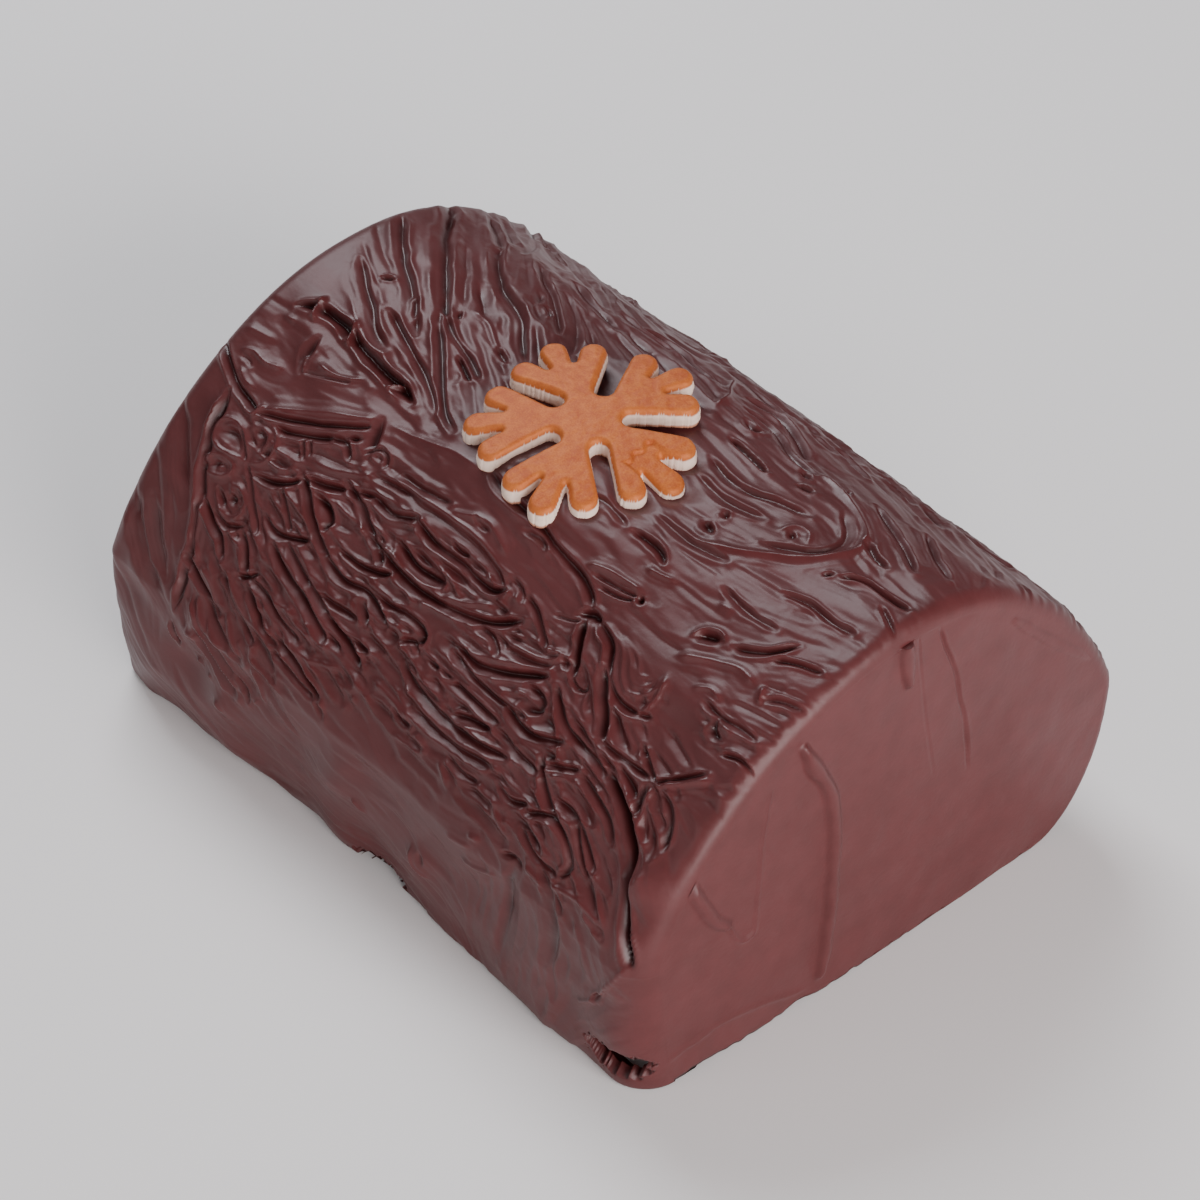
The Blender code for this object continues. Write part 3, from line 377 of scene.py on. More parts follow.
CROWN = (
    ridge(0.6, 1.1, (-1.4, -31), (2, -26), (5.4, -22), (7.2, -16.6)),
    groove(1.4, 1.5, 0.4, 0.4, (13.8, -18.8), (17, -17.9), (19, -19.6)),
    groove(1.1, 1.3, 0.5, 0.3, (34, -16), (37, -15.4)),
    groove(0.9, 1.7, 0.5, 0.4, (17.6, -10.8), (24, -10), (31, -8.8)),
    groove(1.5, 1.6, 0.4, 0.4, (34, 11.5), (37.8, 12.3)),
    groove(1.0, 1.2, 0.4, 0.3, (35, 6.6), (36.6, 7.6)),
    groove(0.8, 2.0, 0.6, 0.4, (44.4, -20), (45.4, -17.6)),
    groove(1.0, 1.3, 0.4, 0.3, (37.4, -11.4), (41.4, -12.3)),
    ridge(1.2, 1.1, (37, 16), (45, 12.6), (51, 8), (56, 4), (59.4, -1), (60.6, -7), (58, -11.4), (52, -15),
          (44, -18), (35, -19.6)),
    groove(1.3, 1.0, 0.3, 0.3, (50, -13), (56.4, -8), (57.8, -2), (54, 3), (47, 7)),
    ridge(0.7, 0.7, (46.4, 2), (47.6, -1.4), (51, -2.2), (53.4, 0.6)),
    groove(0.9, 1.1, 0.3, 0.3, (48, 0.4), (50, 1.6)),
    groove(1.0, 1.4, 0.4, 0.4, (60, -9.4), (64, -7.6), (68.6, -6.8)),
    groove(0.9, 1.4, 0.6, 0.4, (65, 2.4), (69, -0.2), (75, -0.7), (81, -1.2)),
    groove(0.7, 1.4, 0.3, 0.3, (62, 4.4), (63.4, 2.8)),
    groove(0.7, 1.1, 0.4, 0.4, (76.6, 2.6), (80, 4), (84, 5.8)),
    groove(1.0, 0.8, 0.4, 0.4, (50, 20.4), (58, 21.4), (66, 20.6)),
    ridge(1.0, 0.6, (52, 23.4), (56.4, 23)),
    groove(0.9, 1.0, 0.5, 0.4, (60, 13.4), (66, 11.6), (72, 11.8), (78, 11)),
    groove(1.0, 1.1, 0.5, 0.4, (8, 24), (16, 22), (24, 23)),
    groove(1.6, 1.0, 0.4, 0.4, (6, -28), (14, -30), (22, -27), (30, -22)),
    groove(1.4, 1.0, 0.4, 0.4, (10, -23), (18, -24), (27, -19), (36, -18)),
    groove(1.3, 1.0, 0.4, 0.4, (20, -3), (30, -1), (40, -4), (47, -6)),
    groove(1.3, 0.9, 0.4, 0.4, (22, 3), (32, 4.4), (42, 2)),
    groove(1.2, 0.9, 0.4, 0.4, (26, 17), (36, 17.4), (46, 15.4)),
    groove(1.3, 1.0, 0.4, 0.4, (50, -22), (58, -18), (66, -14), (73, -10)),
    groove(1.2, 1.0, 0.4, 0.3, (62, -25), (70, -19), (78, -15)),
    groove(1.5, 0.9, 0.3, 0.3, (-26, -28), (-18, -30), (-10, -27), (-2, -25)),
)

FLOW_HINTS = (
    (-70, -20, 40), (-50, 10, 36), (-40, -30, 35), (-60, 30, 5), (-75, 40, 10), (-60, 40, -22), (-10, -30, 8),
    (20, -30, 12), (50, -30, 32), (75, -25, 35), (20, 0, 3), (30, 20, -5), (60, 15, -8), (75, 35, -12),
    (-20, 38, 2), (10, 40, 6), (-60, 62, 40), (-45, 80, 38), (-20, 60, 8), (-20, 85, 15), (10, 60, -4),
    (10, 75, 4), (30, 60, -10), (45, 55, 42), (50, 70, 35), (65, 65, 35), (60, 85, 15), (75, 50, -40),
    (-75, 90, 42), (-40, 110, 20), (0, 110, 5), (45, 110, 80), (70, 110, -40), (20, 95, 20),
    (-70, -60, 40), (-20, -60, 15), (30, -60, -10), (70, -60, 20), (-60, -100, 20), (0, -100, -8), (55, -100, 12),
)

MOUNDS = (
    Mound(-4, 30, 32, 15, 3.9),
    Mound(7, 3, 12, 9, -1.5),
    Mound(-14, -3, 9, 6, -0.9),
    Mound(78, 76, 3.6, 5.0, 2.6),
    Mound(-8, 109, 7, 4.5, 1.6),
    Mound(-5, 102, 5, 3.5, 1.3),
    Mound(18, 113, 4, 4, 1.4),
    Mound(-44, 112, 5, 4, 1.3),
    Mound(-56, 98, 5, 4, 1.3),
    Mound(54, 81, 8, 5, 1.1),
    Mound(66, 110, 9, 5, 1.2),
    Mound(48, 103, 12, 8, -1.0),
    Mound(-8, 46, 14, 5, 0.6),
    Mound(66, 48, 9, 6, -0.9),
    Mound(-70, 119, 13, 16, 3.2),
    Mound(-48, 121, 14, 12, 2.0),
    Mound(58, 128, 10, 10, 1.8),
    Mound(2, 124, 9, 8, -1.2),
)

TRACED = SWEPT_BACK + SLOT + NET + FLANK_BACK + FLANK_MIDDLE + JUNCTION + CROWN


def smoothstep(low: float, high: float, value: np.ndarray) -> np.ndarray:
    """Eases from 0 at low to 1 at high."""
    t = np.clip((value - low) / (high - low), 0.0, 1.0)
    return t * t * (3.0 - 2.0 * t)


class Undulation:
    """Smooth noise over the unrolled coat, between about -1 and 1."""

    def __init__(self, seed: int, along: float, around: float, slant: float = 0.0) -> None:
        """Sets the noise up.

        Args:
            seed: which noise.
            along: length of one wave along the log, in millimetres.
            around: length of one wave around it, in millimetres.
            slant: how far around the waves drift for each millimetre along.
        """
        self.values = np.random.default_rng(seed).uniform(-1.0, 1.0, (64, 64))
        self.along = along
        self.around = around
        self.slant = slant

    def __call__(self, x: np.ndarray, s: np.ndarray) -> np.ndarray:
        """Returns the noise at places (along, around)."""
        u = x / self.along + 32.0
        v = (s - self.slant * x) / self.around + 32.0
        i = np.floor(u).astype(int)
        j = np.floor(v).astype(int)
        fu = (u - i) ** 2 * (3.0 - 2.0 * (u - i))
        fv = (v - j) ** 2 * (3.0 - 2.0 * (v - j))
        value = self.values
        i0, i1, j0, j1 = i % 64, (i + 1) % 64, j % 64, (j + 1) % 64
        low = value[i0, j0] * (1 - fu) + value[i1, j0] * fu
        high = value[i0, j1] * (1 - fu) + value[i1, j1] * fu
        return low * (1 - fv) + high * fv


def smooth_route(route: Sequence[Point], step: float) -> np.ndarray:
    """Runs a smooth line through the points of a route.

    Args:
        route: the points.
        step: rough distance between the points of the result.

    Returns:
        An array of points.
    """
    knots = np.array([route[0], *route, route[-1]], float)
    made = [knots[1]]
    for before, start, stop, after in zip(knots, knots[1:], knots[2:], knots[3:]):
        pieces = max(1, round(float(np.hypot(*(stop - start))) / step))
        for t in np.arange(1, pieces + 1) / pieces:
            bend = (2 * before - 5 * start + 4 * stop - after) * t * t + (3 * start - before - 3 * stop + after) * t ** 3
            made.append(start + 0.5 * ((stop - before) * t + bend))
    return np.array(made)


def blur(grid: np.ndarray, sigma: float) -> np.ndarray:
    """Softens a grid by a Gaussian of sigma cells."""
    reach = max(1, math.ceil(2.5 * sigma))
    weights = np.exp(-0.5 * (np.arange(-reach, reach + 1) / sigma) ** 2)
    weights /= weights.sum()
    for axis in (0, 1):
        pad = [(reach, reach) if axis == k else (0, 0) for k in (0, 1)]
        padded = np.pad(grid, pad, mode="edge")
        size = grid.shape[axis]
        grid = sum(w * np.take(padded, range(k, k + size), axis=axis) for k, w in enumerate(weights))
    return grid


class FlowField:
    """The direction in which the chocolate was drawn at each place."""

    reach = 7.0
    cell = 3.0

    def __init__(self, hints: Sequence[tuple[float, float, float]], strokes: Sequence[Stroke],
                 along: Point, around: Point) -> None:
        """Blends hints and the directions of strokes.

        Args:
            hints: places with a direction in degrees, downward positive.
            strokes: strokes whose own directions hold near them.
            along: range of the field along the log.
            around: range of the field around it.
        """
        places, turns, weights, reaches = [], [], [], []
        for x, s, degrees in hints:
            places.append((x, s))
            turns.append(math.radians(degrees))
            weights.append(1.0)
            reaches.append(3.0 * self.reach)
        for stroke in strokes:
            route = smooth_route(stroke.route, 4.0)
            if stroke.form is not Form.GROOVE or len(route) < 3:
                continue
            for start, stop in zip(route, route[1:]):
                step = stop - start
                places.append(tuple((start + stop) / 2))
                turns.append(math.atan2(step[1], step[0]))
                weights.append(1.5)
                reaches.append(self.reach)
        self.x = np.arange(along[0], along[1] + self.cell, self.cell)
        self.s = np.arange(around[0], around[1] + self.cell, self.cell)
        grid_x, grid_s = np.meshgrid(self.x, self.s)
        cosine, sine = np.zeros(grid_x.shape), np.zeros(grid_x.shape)
        for (x, s), turn, weight, reach in zip(places, turns, weights, reaches):
            share = weight * np.exp(-((grid_x - x) ** 2 + (grid_s - s) ** 2) / (2.0 * reach * reach))
            cosine += share * math.cos(2.0 * turn)
            sine += share * math.sin(2.0 * turn)
        self.turn = 0.5 * np.arctan2(sine, cosine)

    def direction(self, x: float, s: float) -> np.ndarray:
        """Returns the unit direction (along, around) at a place."""
        j = min(max(int(round((x - self.x[0]) / self.cell)), 0), len(self.x) - 1)
        i = min(max(int(round((s - self.s[0]) / self.cell)), 0), len(self.s) - 1)
        turn = self.turn[i, j]
        return np.array((math.cos(turn), math.sin(turn)))

    def follow(self, start: Point, length: float, bend: float) -> tuple[Point, ...]:
        """Walks with the field.

        Args:
            start: where the walk begins.
            length: how far it goes, in millimetres.
            bend: extra turn in radians per millimetre.

        Returns:
            The places passed.
        """
        place = np.array(start, float)
        heading = self.direction(*place)
        route = [tuple(place)]
        step = 2.0
        for k in range(max(1, round(length / step))):
            ahead = self.direction(*place)
            if np.dot(ahead, heading) < 0.0:
                ahead = -ahead
            heading = ahead
            turn = bend * step * (k + 1)
            turned = (heading[0] * math.cos(turn) - heading[1] * math.sin(turn),
                      heading[0] * math.sin(turn) + heading[1] * math.cos(turn))
            place = place + step * np.array(turned)
            route.append(tuple(place))
        return tuple(route)


class ReliefMap:
    """The height of the worked chocolate over the smooth section, kept on a fine grid, in millimetres."""

    step = 0.2

    def __init__(self, along: Point, around: Point) -> None:
        """Lays out an even grid over a range along and a range around."""
        self.x = np.arange(along[0], along[1] + self.step / 2, self.step)
        self.s = np.arange(around[0], around[1] + self.step / 2, self.step)
        self.fine = np.zeros((len(self.s), len(self.x)))
        self.rng = np.random.default_rng(20)
        self.table = self.rng.uniform(-1.0, 1.0, 512)
        self.table[-1] = self.table[0]

    def wander(self, places: np.ndarray, start: float) -> np.ndarray:
        """One-dimensional noise with a wave of about one unit."""
        return np.interp((places + start) % 511.0, np.arange(512), self.table)

    def nearest(self, route: np.ndarray, reach: float) -> tuple[tuple[slice, slice], np.ndarray, np.ndarray]:
        """Finds how the cells round a route lie to it.

        Args:
            route: points of the route.
            reach: how far from the route cells matter.

        Returns:
            The window of cells, the signed distance across the route, and the distance walked along it.
        """
        low, high = route.min(axis=0) - reach, route.max(axis=0) + reach
        j0, j1 = np.searchsorted(self.x, (low[0], high[0]))
        i0, i1 = np.searchsorted(self.s, (low[1], high[1]))
        window = (slice(i0, i1), slice(j0, j1))
        x, s = self.x[j0:j1], self.s[i0:i1]
        squared = np.full((len(s), len(x)), 1e6)
        side = np.zeros_like(squared)
        walked = np.zeros_like(squared)
        travelled = 0.0
        for start, stop in zip(route, route[1:]):
            dx, ds = stop - start
            length = math.hypot(dx, ds)
            a0, a1 = np.searchsorted(x, (min(start[0], stop[0]) - reach, max(start[0], stop[0]) + reach))
            b0, b1 = np.searchsorted(s, (min(start[1], stop[1]) - reach, max(start[1], stop[1]) + reach))
            if a0 == a1 or b0 == b1 or length == 0.0:
                continue
            ox, os = x[None, a0:a1] - start[0], s[b0:b1, None] - start[1]
            t = np.clip((ox * dx + os * ds) / (length * length), 0.0, 1.0)
            found = (ox - t * dx) ** 2 + (os - t * ds) ** 2
            part = (slice(b0, b1), slice(a0, a1))
            closer = found < squared[part]
            squared[part] = np.where(closer, found, squared[part])
            side[part] = np.where(closer, dx * os - ds * ox, side[part])
            walked[part] = np.where(closer, travelled + t * length, walked[part])
            travelled += length
        return window, np.copysign(np.sqrt(squared), side), walked

    def draw(self, stroke: Stroke, strength: float = 1.0) -> None:
        """Draws one stroke into the relief, wiping out much of what it crosses.

        Args:
            stroke: the stroke.
            strength: scales its depth and lips.
        """
        route = smooth_route(stroke.route, 1.0)
        total = float(np.hypot(*np.diff(route, axis=0).T).sum())
        flip = -1.0 if stroke.route[0][0] > stroke.route[-1][0] else 1.0
        reach = 2.4 * stroke.width + 0.5
        window, across, walked = self.nearest(route, reach)
        if across.size == 0:
            return
        share = walked / total
        ease = min(0.35, 1.6 * stroke.width / total + 0.05)
        force = smoothstep(-0.4 * ease, ease, share) * smoothstep(1.0 + 0.4 * ease, 1.0 - ease, share)
        start = self.rng.uniform(0.0, 500.0)
        uneven = 1.0 + 0.16 * self.wander(walked / 3.0, start)
        half = stroke.width * (0.55 + 0.45 * force) * uneven
        u = np.abs(across) / half
        near = u < 2.4
        old = self.fine[window]
        if stroke.form is Form.RIDGE:
            crest = stroke.depth * np.exp(-np.power(u, 1.35) * 1.25) * force * uneven
            foot = 0.12 * stroke.depth * np.exp(-((u - 1.9) / 0.5) ** 2) * force
            wiped = 0.75 * smoothstep(1.6, 0.6, u) * force
            new = old * (1.0 - wiped) + strength * (crest + foot)
        elif stroke.form is Form.BEAD:
            back = np.sqrt(np.clip(1.0 - u * u, 0.0, 1.0)) * smoothstep(-0.1, 0.35, force)
            new = old * (1.0 - 0.8 * back) + stroke.depth * (0.9 * back + 0.16 * np.exp(-((u / 1.3) ** 2)))
        else:
            inside = smoothstep(1.15, 0.8, u) * smoothstep(0.0, 0.4, force)
            v = across * flip / half
            steep = np.clip((v + 1.0) / (1.0 + stroke.crease), 0.0, 1.0) ** 1.3
            gentle = np.clip((1.0 - v) / (1.0 - stroke.crease), 0.0, 1.0) ** 1.7
            floor = np.where(v < stroke.crease, steep, gentle) * force
            trough = -stroke.depth * floor * (1.0 + 0.25 * self.wander(walked / 4.0, start + 90))
            scratch = self.wander(across / 0.42 + 0.06 * walked, start + 200)
            scratch = scratch + 0.7 * self.wander(across / 0.8 - 0.04 * walked, start + 300)
            lip_height = np.where(v < 0.0, stroke.lips[0], stroke.lips[1])
            lip_height = lip_height * (1.0 + 0.35 * self.wander(walked / 2.4, start + 400)) * force
            lip = 0.6 * np.exp(-((u - 1.3) / 0.42) ** 2) + 0.4 * np.exp(-np.abs(u - 1.15) / 0.3)
            kept = 1.0 - 0.85 * inside - 0.3 * np.exp(-((u - 1.3) / 0.5) ** 2) * force
            new = old * kept + strength * (trough + lip_height * lip) + stroke.grain * scratch * inside
        self.fine[window] = np.where(near, new, old)

    def curl(self, place: Point, radius: float, height: float) -> None:
        """Leaves a small lump, such as the end of a stroke pushes up.

        Args:
            place: its middle.
            radius: its size.
            height: how high it stands.
        """
        j0, j1 = np.searchsorted(self.x, (place[0] - 3 * radius, place[0] + 3 * radius))
        i0, i1 = np.searchsorted(self.s, (place[1] - 3 * radius, place[1] + 3 * radius))
        squared = (self.x[None, j0:j1] - place[0]) ** 2 + (self.s[i0:i1, None] - place[1]) ** 2
        self.fine[i0:i1, j0:j1] += height * np.exp(-squared / (radius * radius))

    def sample(self, x: np.ndarray, s: np.ndarray) -> np.ndarray:
        """Returns the height at any places, held at the border outside the grid."""
        u = np.clip((x - self.x[0]) / self.step, 0.0, len(self.x) - 1.001)
        v = np.clip((s - self.s[0]) / self.step, 0.0, len(self.s) - 1.001)
        i, j = np.floor(v).astype(int), np.floor(u).astype(int)
        fu, fv = u - j, v - i
        upper = self.fine[i, j] * (1 - fu) + self.fine[i, j + 1] * fu
        lower = self.fine[i + 1, j] * (1 - fu) + self.fine[i + 1, j + 1] * fu
        return upper * (1 - fv) + lower * fv


@dataclass(frozen=True)
class Zone:
    """How a part of the coat was worked, where nothing on it is singled out.

    Args:
        name: what the zone is.
        seats: centres (along, around) with a reach each.
        strokes: how many strokes fill it per square centimetre.
        width: range of the half width.
        depth: range of the depth.
        length: range of the length.
        lip: height of the lips as a share of the depth.
        grain: height of the fine scratches.
    """

    name: str
    seats: tuple[tuple[float, float, float], ...]
    strokes: float
    width: Point
    depth: Point
    length: Point
    lip: float = 0.45
    grain: float = 0.05


ZONES = (
    Zone("plaster", ((-60, -10, 34), (0, -10, 34), (55, -10, 34), (-60, 50, 34), (0, 50, 34), (55, 50, 34),
                     (-60, 105, 34), (0, 105, 34), (55, 105, 34), (-60, -70, 34), (0, -70, 34), (55, -70, 34),
                     (-60, -115, 30), (0, -115, 30), (55, -115, 30)),
         1.0, (1.8, 3.6), (0.15, 0.4), (16, 34), 0.35, 0.045),
    Zone("swept crown", ((-60, -5, 26), (-35, -20, 22), (-45, 15, 18), (-70, -40, 26), (0, -32, 20)),
         1.2, (1.3, 2.4), (0.4, 0.9), (14, 28), 0.4, 0.05),
    Zone("still crown", ((25, -5, 24), (55, -20, 24), (40, 25, 16), (66, 12, 18), (0, 38, 16), (-60, 36, 14)),
         1.4, (0.9, 2.0), (0.12, 0.4), (12, 26), 0.35, 0.045),
    Zone("forked flank", ((-45, 64, 20), (-20, 66, 22), (5, 64, 22), (28, 68, 20), (48, 68, 20), (-50, 84, 15),
                          (-30, 52, 14), (-55, 55, 12)),
         3.4, (1.0, 1.9), (0.5, 1.2), (8, 20), 0.6, 0.09),
    Zone("front shoulder", ((64, 50, 16), (74, 40, 14), (62, 78, 12)), 2.0, (0.8, 1.7), (0.2, 0.7), (6, 14), 0.5, 0.05),
    Zone("low flank", ((-35, 108, 24), (0, 100, 24), (40, 105, 24), (65, 112, 20), (-10, 122, 20), (30, 125, 20)),
         0.8, (1.2, 2.6), (0.12, 0.4), (8, 18), 0.35, 0.03),
    Zone("far side", ((-60, -75, 34), (-10, -75, 36), (45, -75, 36), (-60, -115, 30), (0, -115, 30), (55, -115, 30),
                      (20, -50, 26), (70, -60, 26)), 1.8, (1.1, 2.2), (0.4, 1.1), (8, 24), 0.45, 0.06),
)


class WorkedCoat:
    """The worked relief: filling strokes of each zone, then the strokes that stand out."""

    along = (-91.0, 90.0)
    around = (-137.0, 140.0)

    def __init__(self) -> None:
        """Works the whole coat over."""
        self.map = ReliefMap(self.along, self.around)
        self.flow = FlowField(FLOW_HINTS, TRACED, self.along, self.around)
        self.fill()
        for stroke in TRACED:
            self.map.draw(stroke)
            self.end_lump(stroke)
        self.settle()

    def fill(self) -> None:
        """Fills every zone with strokes that follow the flow, in mixed order."""
        rng = np.random.default_rng(7)
        planned = []
        for zone in ZONES:
            for x, s, reach in zone.seats:
                count = round(zone.strokes * math.pi * reach * reach / 100.0)
                for _ in range(count):
                    distance, turn = reach * math.sqrt(rng.uniform()), rng.uniform(0.0, math.tau)
                    place = (x + distance * math.cos(turn), s + distance * math.sin(turn))
                    length = rng.uniform(*zone.length)
                    drift = 0.010 * rng.normal()
                    route = self.flow.follow(place, length, drift)
                    width, depth = rng.uniform(*zone.width), rng.uniform(*zone.depth)
                    lips = (zone.lip * depth * rng.uniform(0.5, 1.4), zone.lip * depth * rng.uniform(0.5, 1.4))
                    crease = -0.45 if rng.uniform() < 0.7 else 0.4
                    order = rng.uniform() + (0.0 if zone.name == "plaster" else 0.8)
                    planned.append((order, Stroke(Form.GROOVE, width, depth, lips, route, zone.grain, crease)))
        planned.sort(key=lambda item: item[0])
        for _, stroke in planned:
            self.map.draw(stroke)
            self.end_lump(stroke)

    def end_lump(self, stroke: Stroke) -> None:
        """Leaves the small lump that a stroke pushes up where it stops."""
        if stroke.form is not Form.GROOVE:
            return
        before, last = np.array(stroke.route[-2]), np.array(stroke.route[-1])
        ahead = (last - before) / max(float(np.hypot(*(last - before))), 1e-6)
        place = last + 0.7 * stroke.width * ahead
        self.map.curl((float(place[0]), float(place[1])), 0.9 * stroke.width, 0.35 * sum(stroke.lips))

    def settle(self) -> None:
        """Lets the chocolate slump: very small forms soften, and heights stay within what it can hold."""
        fine = np.clip(self.map.fine, -3.0, 2.3)
        self.map.fine = blur(fine, 0.9)


def coat_swell(x: np.ndarray, s: np.ndarray) -> np.ndarray:
    """Height of the broad forms of the coat over the smooth section, in millimetres."""
    height = 0.55 * Undulation(11, 26.0, 22.0)(x, s)
    sweep = Undulation(5, 30.0, 7.5, 0.55)(x, s) * smoothstep(10.0, -40.0, x)
    sweep = sweep + Undulation(6, 26.0, 7.0, 0.15)(x, s) * smoothstep(-40.0, 10.0, x)
    crown = smoothstep(52.0, 30.0, s)
    flank = smoothstep(30.0, 52.0, s) * smoothstep(112.0, 92.0, s)
    foot = smoothstep(88.0, 108.0, s)
    worked = smoothstep(-84.0, -72.0, x) * smoothstep(84.0, 77.0, x)
    height = height + 0.9 * sweep * crown * worked
    height = height + 0.5 * Undulation(8, 15.0, 6.0)(x, s) * flank * worked
    height = height + 1.1 * Undulation(9, 11.0, 9.0)(x, s) * foot
    for mound in MOUNDS:
        reach = ((x - mound.along) / mound.length) ** 2 + ((s - mound.around) / mound.breadth) ** 2
        height = height + mound.height * np.exp(-reach)
    return height


def side_profile(widest: float, foot: float, inset: float) -> tuple[np.ndarray, np.ndarray]:
    """Traces one side of the cross-section from the foot to the crown.

    Args:
        widest: greatest distance from the crown line.
        foot: distance of the foot from the crown line.
        inset: how far inside the coat the profile lies.

    Returns:
        Distances from the crown line, and heights.
    """
    widest, foot = widest - inset, foot - inset
    crown = HEIGHT - inset
    low = np.linspace(0.0, 1.0, 60)
    bulge = foot + (widest - foot) * np.sqrt(1.0 - (1.0 - low) ** 2)
    turn = np.linspace(0.0, math.pi / 2, 160)[1:]
    arch = widest * np.cos(turn) ** (2.0 / SIDE_POWER)
    rise = WIDEST_HEIGHT + (crown - WIDEST_HEIGHT) * np.sin(turn) ** (2.0 / TOP_POWER)
    return np.concatenate([bulge, arch]), np.concatenate([WIDEST_HEIGHT * low, rise])


class Section:
    """The smooth cross-section under the relief, walked by the distance around from the crown."""

    def __init__(self, inset: float = 0.0) -> None:
        """Joins the narrow and the broad side at the crown."""
        narrow_y, narrow_z = side_profile(NARROW_SIDE, NARROW_FOOT, inset)
        broad_y, broad_z = side_profile(BROAD_SIDE, BROAD_FOOT, inset)
        self.y = np.concatenate([narrow_y, -broad_y[-2::-1]])
        self.z = np.concatenate([narrow_z, broad_z[-2::-1]])
        walked = np.concatenate([[0.0], np.cumsum(np.hypot(np.diff(self.y), np.diff(self.z)))])
        self.around = walked - walked[len(narrow_y) - 1]

    def point(self, s: np.ndarray) -> tuple[np.ndarray, np.ndarray]:
        """Returns (sideways, height) at distances around."""
        return np.interp(s, self.around, self.y), np.interp(s, self.around, self.z)

    def outward(self, s: np.ndarray) -> tuple[np.ndarray, np.ndarray]:
        """Returns the direction in which relief grows: the normal, kept from turning down near the feet."""
        span = 1.5
        y0, z0 = self.point(s - span)
        y1, z1 = self.point(s + span)
        ny, nz = z1 - z0, np.maximum(y0 - y1, 0.0)
        size = np.hypot(ny, nz)
        return ny / size, nz / size


def arc(centre: np.ndarray, radius: float, start: float, stop: float, steps: int) -> np.ndarray:
    """Returns the points of an arc in the plane; angles in degrees."""
    turns = np.radians(np.linspace(start, stop, steps + 1))
    return np.stack([centre[0] + radius * np.cos(turns), centre[1] + radius * np.sin(turns)], axis=-1)


def heading(degrees: float) -> np.ndarray:
    """Returns the unit direction at an angle in the plane."""
    return np.array((math.cos(math.radians(degrees)), math.sin(math.radians(degrees))))


def flake_outline() -> np.ndarray:
    """Returns the snowflake's outline: each arm is a middle lobe between two slanting ones."""
    half_arm = 180.0 / FLAKE_ARMS
    side_tip, tip = np.array(SIDE_TIP), np.array((TIP_REACH, 0.0))
    outer_edge = side_tip + LOBE_RADIUS * heading(SIDE_SLANT + 90.0)
    notch_centre = NOTCH_REACH * heading(half_arm)
    notch = abs(np.dot(notch_centre - outer_edge, heading(SIDE_SLANT + 90.0)))
    side_normal = heading(SIDE_SLANT - LOBE_TAPER - 90.0)
    middle_normal = heading(LOBE_TAPER + 90.0)
    reach = LOBE_RADIUS + FORK_RADIUS
    offsets = np.array((np.dot(side_tip, side_normal) + reach, np.dot(tip, middle_normal) + reach))
    fork_centre = np.linalg.solve(np.array((side_normal, middle_normal)), offsets)
    upper = np.concatenate([
        arc(notch_centre, notch, half_arm + 180.0, SIDE_SLANT + 270.0, NOTCH_STEPS),
        arc(side_tip, LOBE_RADIUS, SIDE_SLANT + 90.0, SIDE_SLANT - LOBE_TAPER - 90.0, LOBE_STEPS),
        arc(fork_centre, FORK_RADIUS, SIDE_SLANT - LOBE_TAPER + 90.0, LOBE_TAPER + 270.0, 4),
        arc(tip, LOBE_RADIUS, LOBE_TAPER + 90.0, 0.0, LOBE_STEPS // 2 + 1),
    ])
    lower = upper[-2:0:-1] * (1.0, -1.0)
    arm = np.concatenate([upper, lower])[::-1]
    reach = np.hypot(arm[:, 0], arm[:, 1])
    turn = np.arctan2(arm[:, 1], arm[:, 0])
    points = []
    for k, swing in enumerate(ARM_SWINGS):
        bent = turn + np.radians(FLAKE_TURN + 360.0 * k / FLAKE_ARMS + swing * smoothstep(8.0, 15.0, reach))
        points.append(np.stack([reach * np.cos(bent), reach * np.sin(bent)], axis=-1))
    return np.concatenate(points)


def flake_top(u: np.ndarray, v: np.ndarray) -> np.ndarray:
    """Returns the height of the snowflake's top face over its plan: a tilted plate whose arms droop."""
    return FLAKE_CENTRE[2] + FLAKE_SLOPE[0] * u + FLAKE_SLOPE[1] * v - FLAKE_DROOP * (u * u + v * v)


def nearest_on_outline(u: np.ndarray, v: np.ndarray, outline: np.ndarray) -> tuple[np.ndarray, np.ndarray, np.ndarray]:
    """Measures plan points against a closed outline.

    Args:
        u: first coordinates.
        v: second coordinates.
        outline: the outline's points.

    Returns:
        Signed distance, positive inside, and the two coordinates of the nearest place on the outline.
    """
    best = np.full(u.shape, 1e9)
    near_u, near_v = np.zeros(u.shape), np.zeros(u.shape)
    inside = np.zeros(u.shape, bool)
    for (u0, v0), (u1, v1) in zip(outline, np.roll(outline, -1, axis=0)):
        du, dv = u1 - u0, v1 - v0
        if du == 0.0 and dv == 0.0:
            continue
        t = np.clip(((u - u0) * du + (v - v0) * dv) / (du * du + dv * dv), 0.0, 1.0)
        found = np.hypot(u - u0 - t * du, v - v0 - t * dv)
        closer = found < best
        best = np.where(closer, found, best)
        near_u, near_v = np.where(closer, u0 + t * du, near_u), np.where(closer, v0 + t * dv, near_v)
        if v1 != v0:
            inside ^= ((v0 > v) != (v1 > v)) & (u < u0 + (u1 - u0) * (v - v0) / (v1 - v0))
    return np.where(inside, best, -best), near_u, near_v


def side_shown(u: np.ndarray, v: np.ndarray) -> np.ndarray:
    """Returns how much of the snowflake's side stands clear of the chocolate in each direction."""
    turn = (np.degrees(np.arctan2(v, u)) - FLAKE_TURN) % 360.0 / (360.0 / FLAKE_ARMS)
    sides = np.array([*ARM_SIDES, ARM_SIDES[0]])
    return np.interp(turn, np.arange(FLAKE_ARMS + 1), sides)


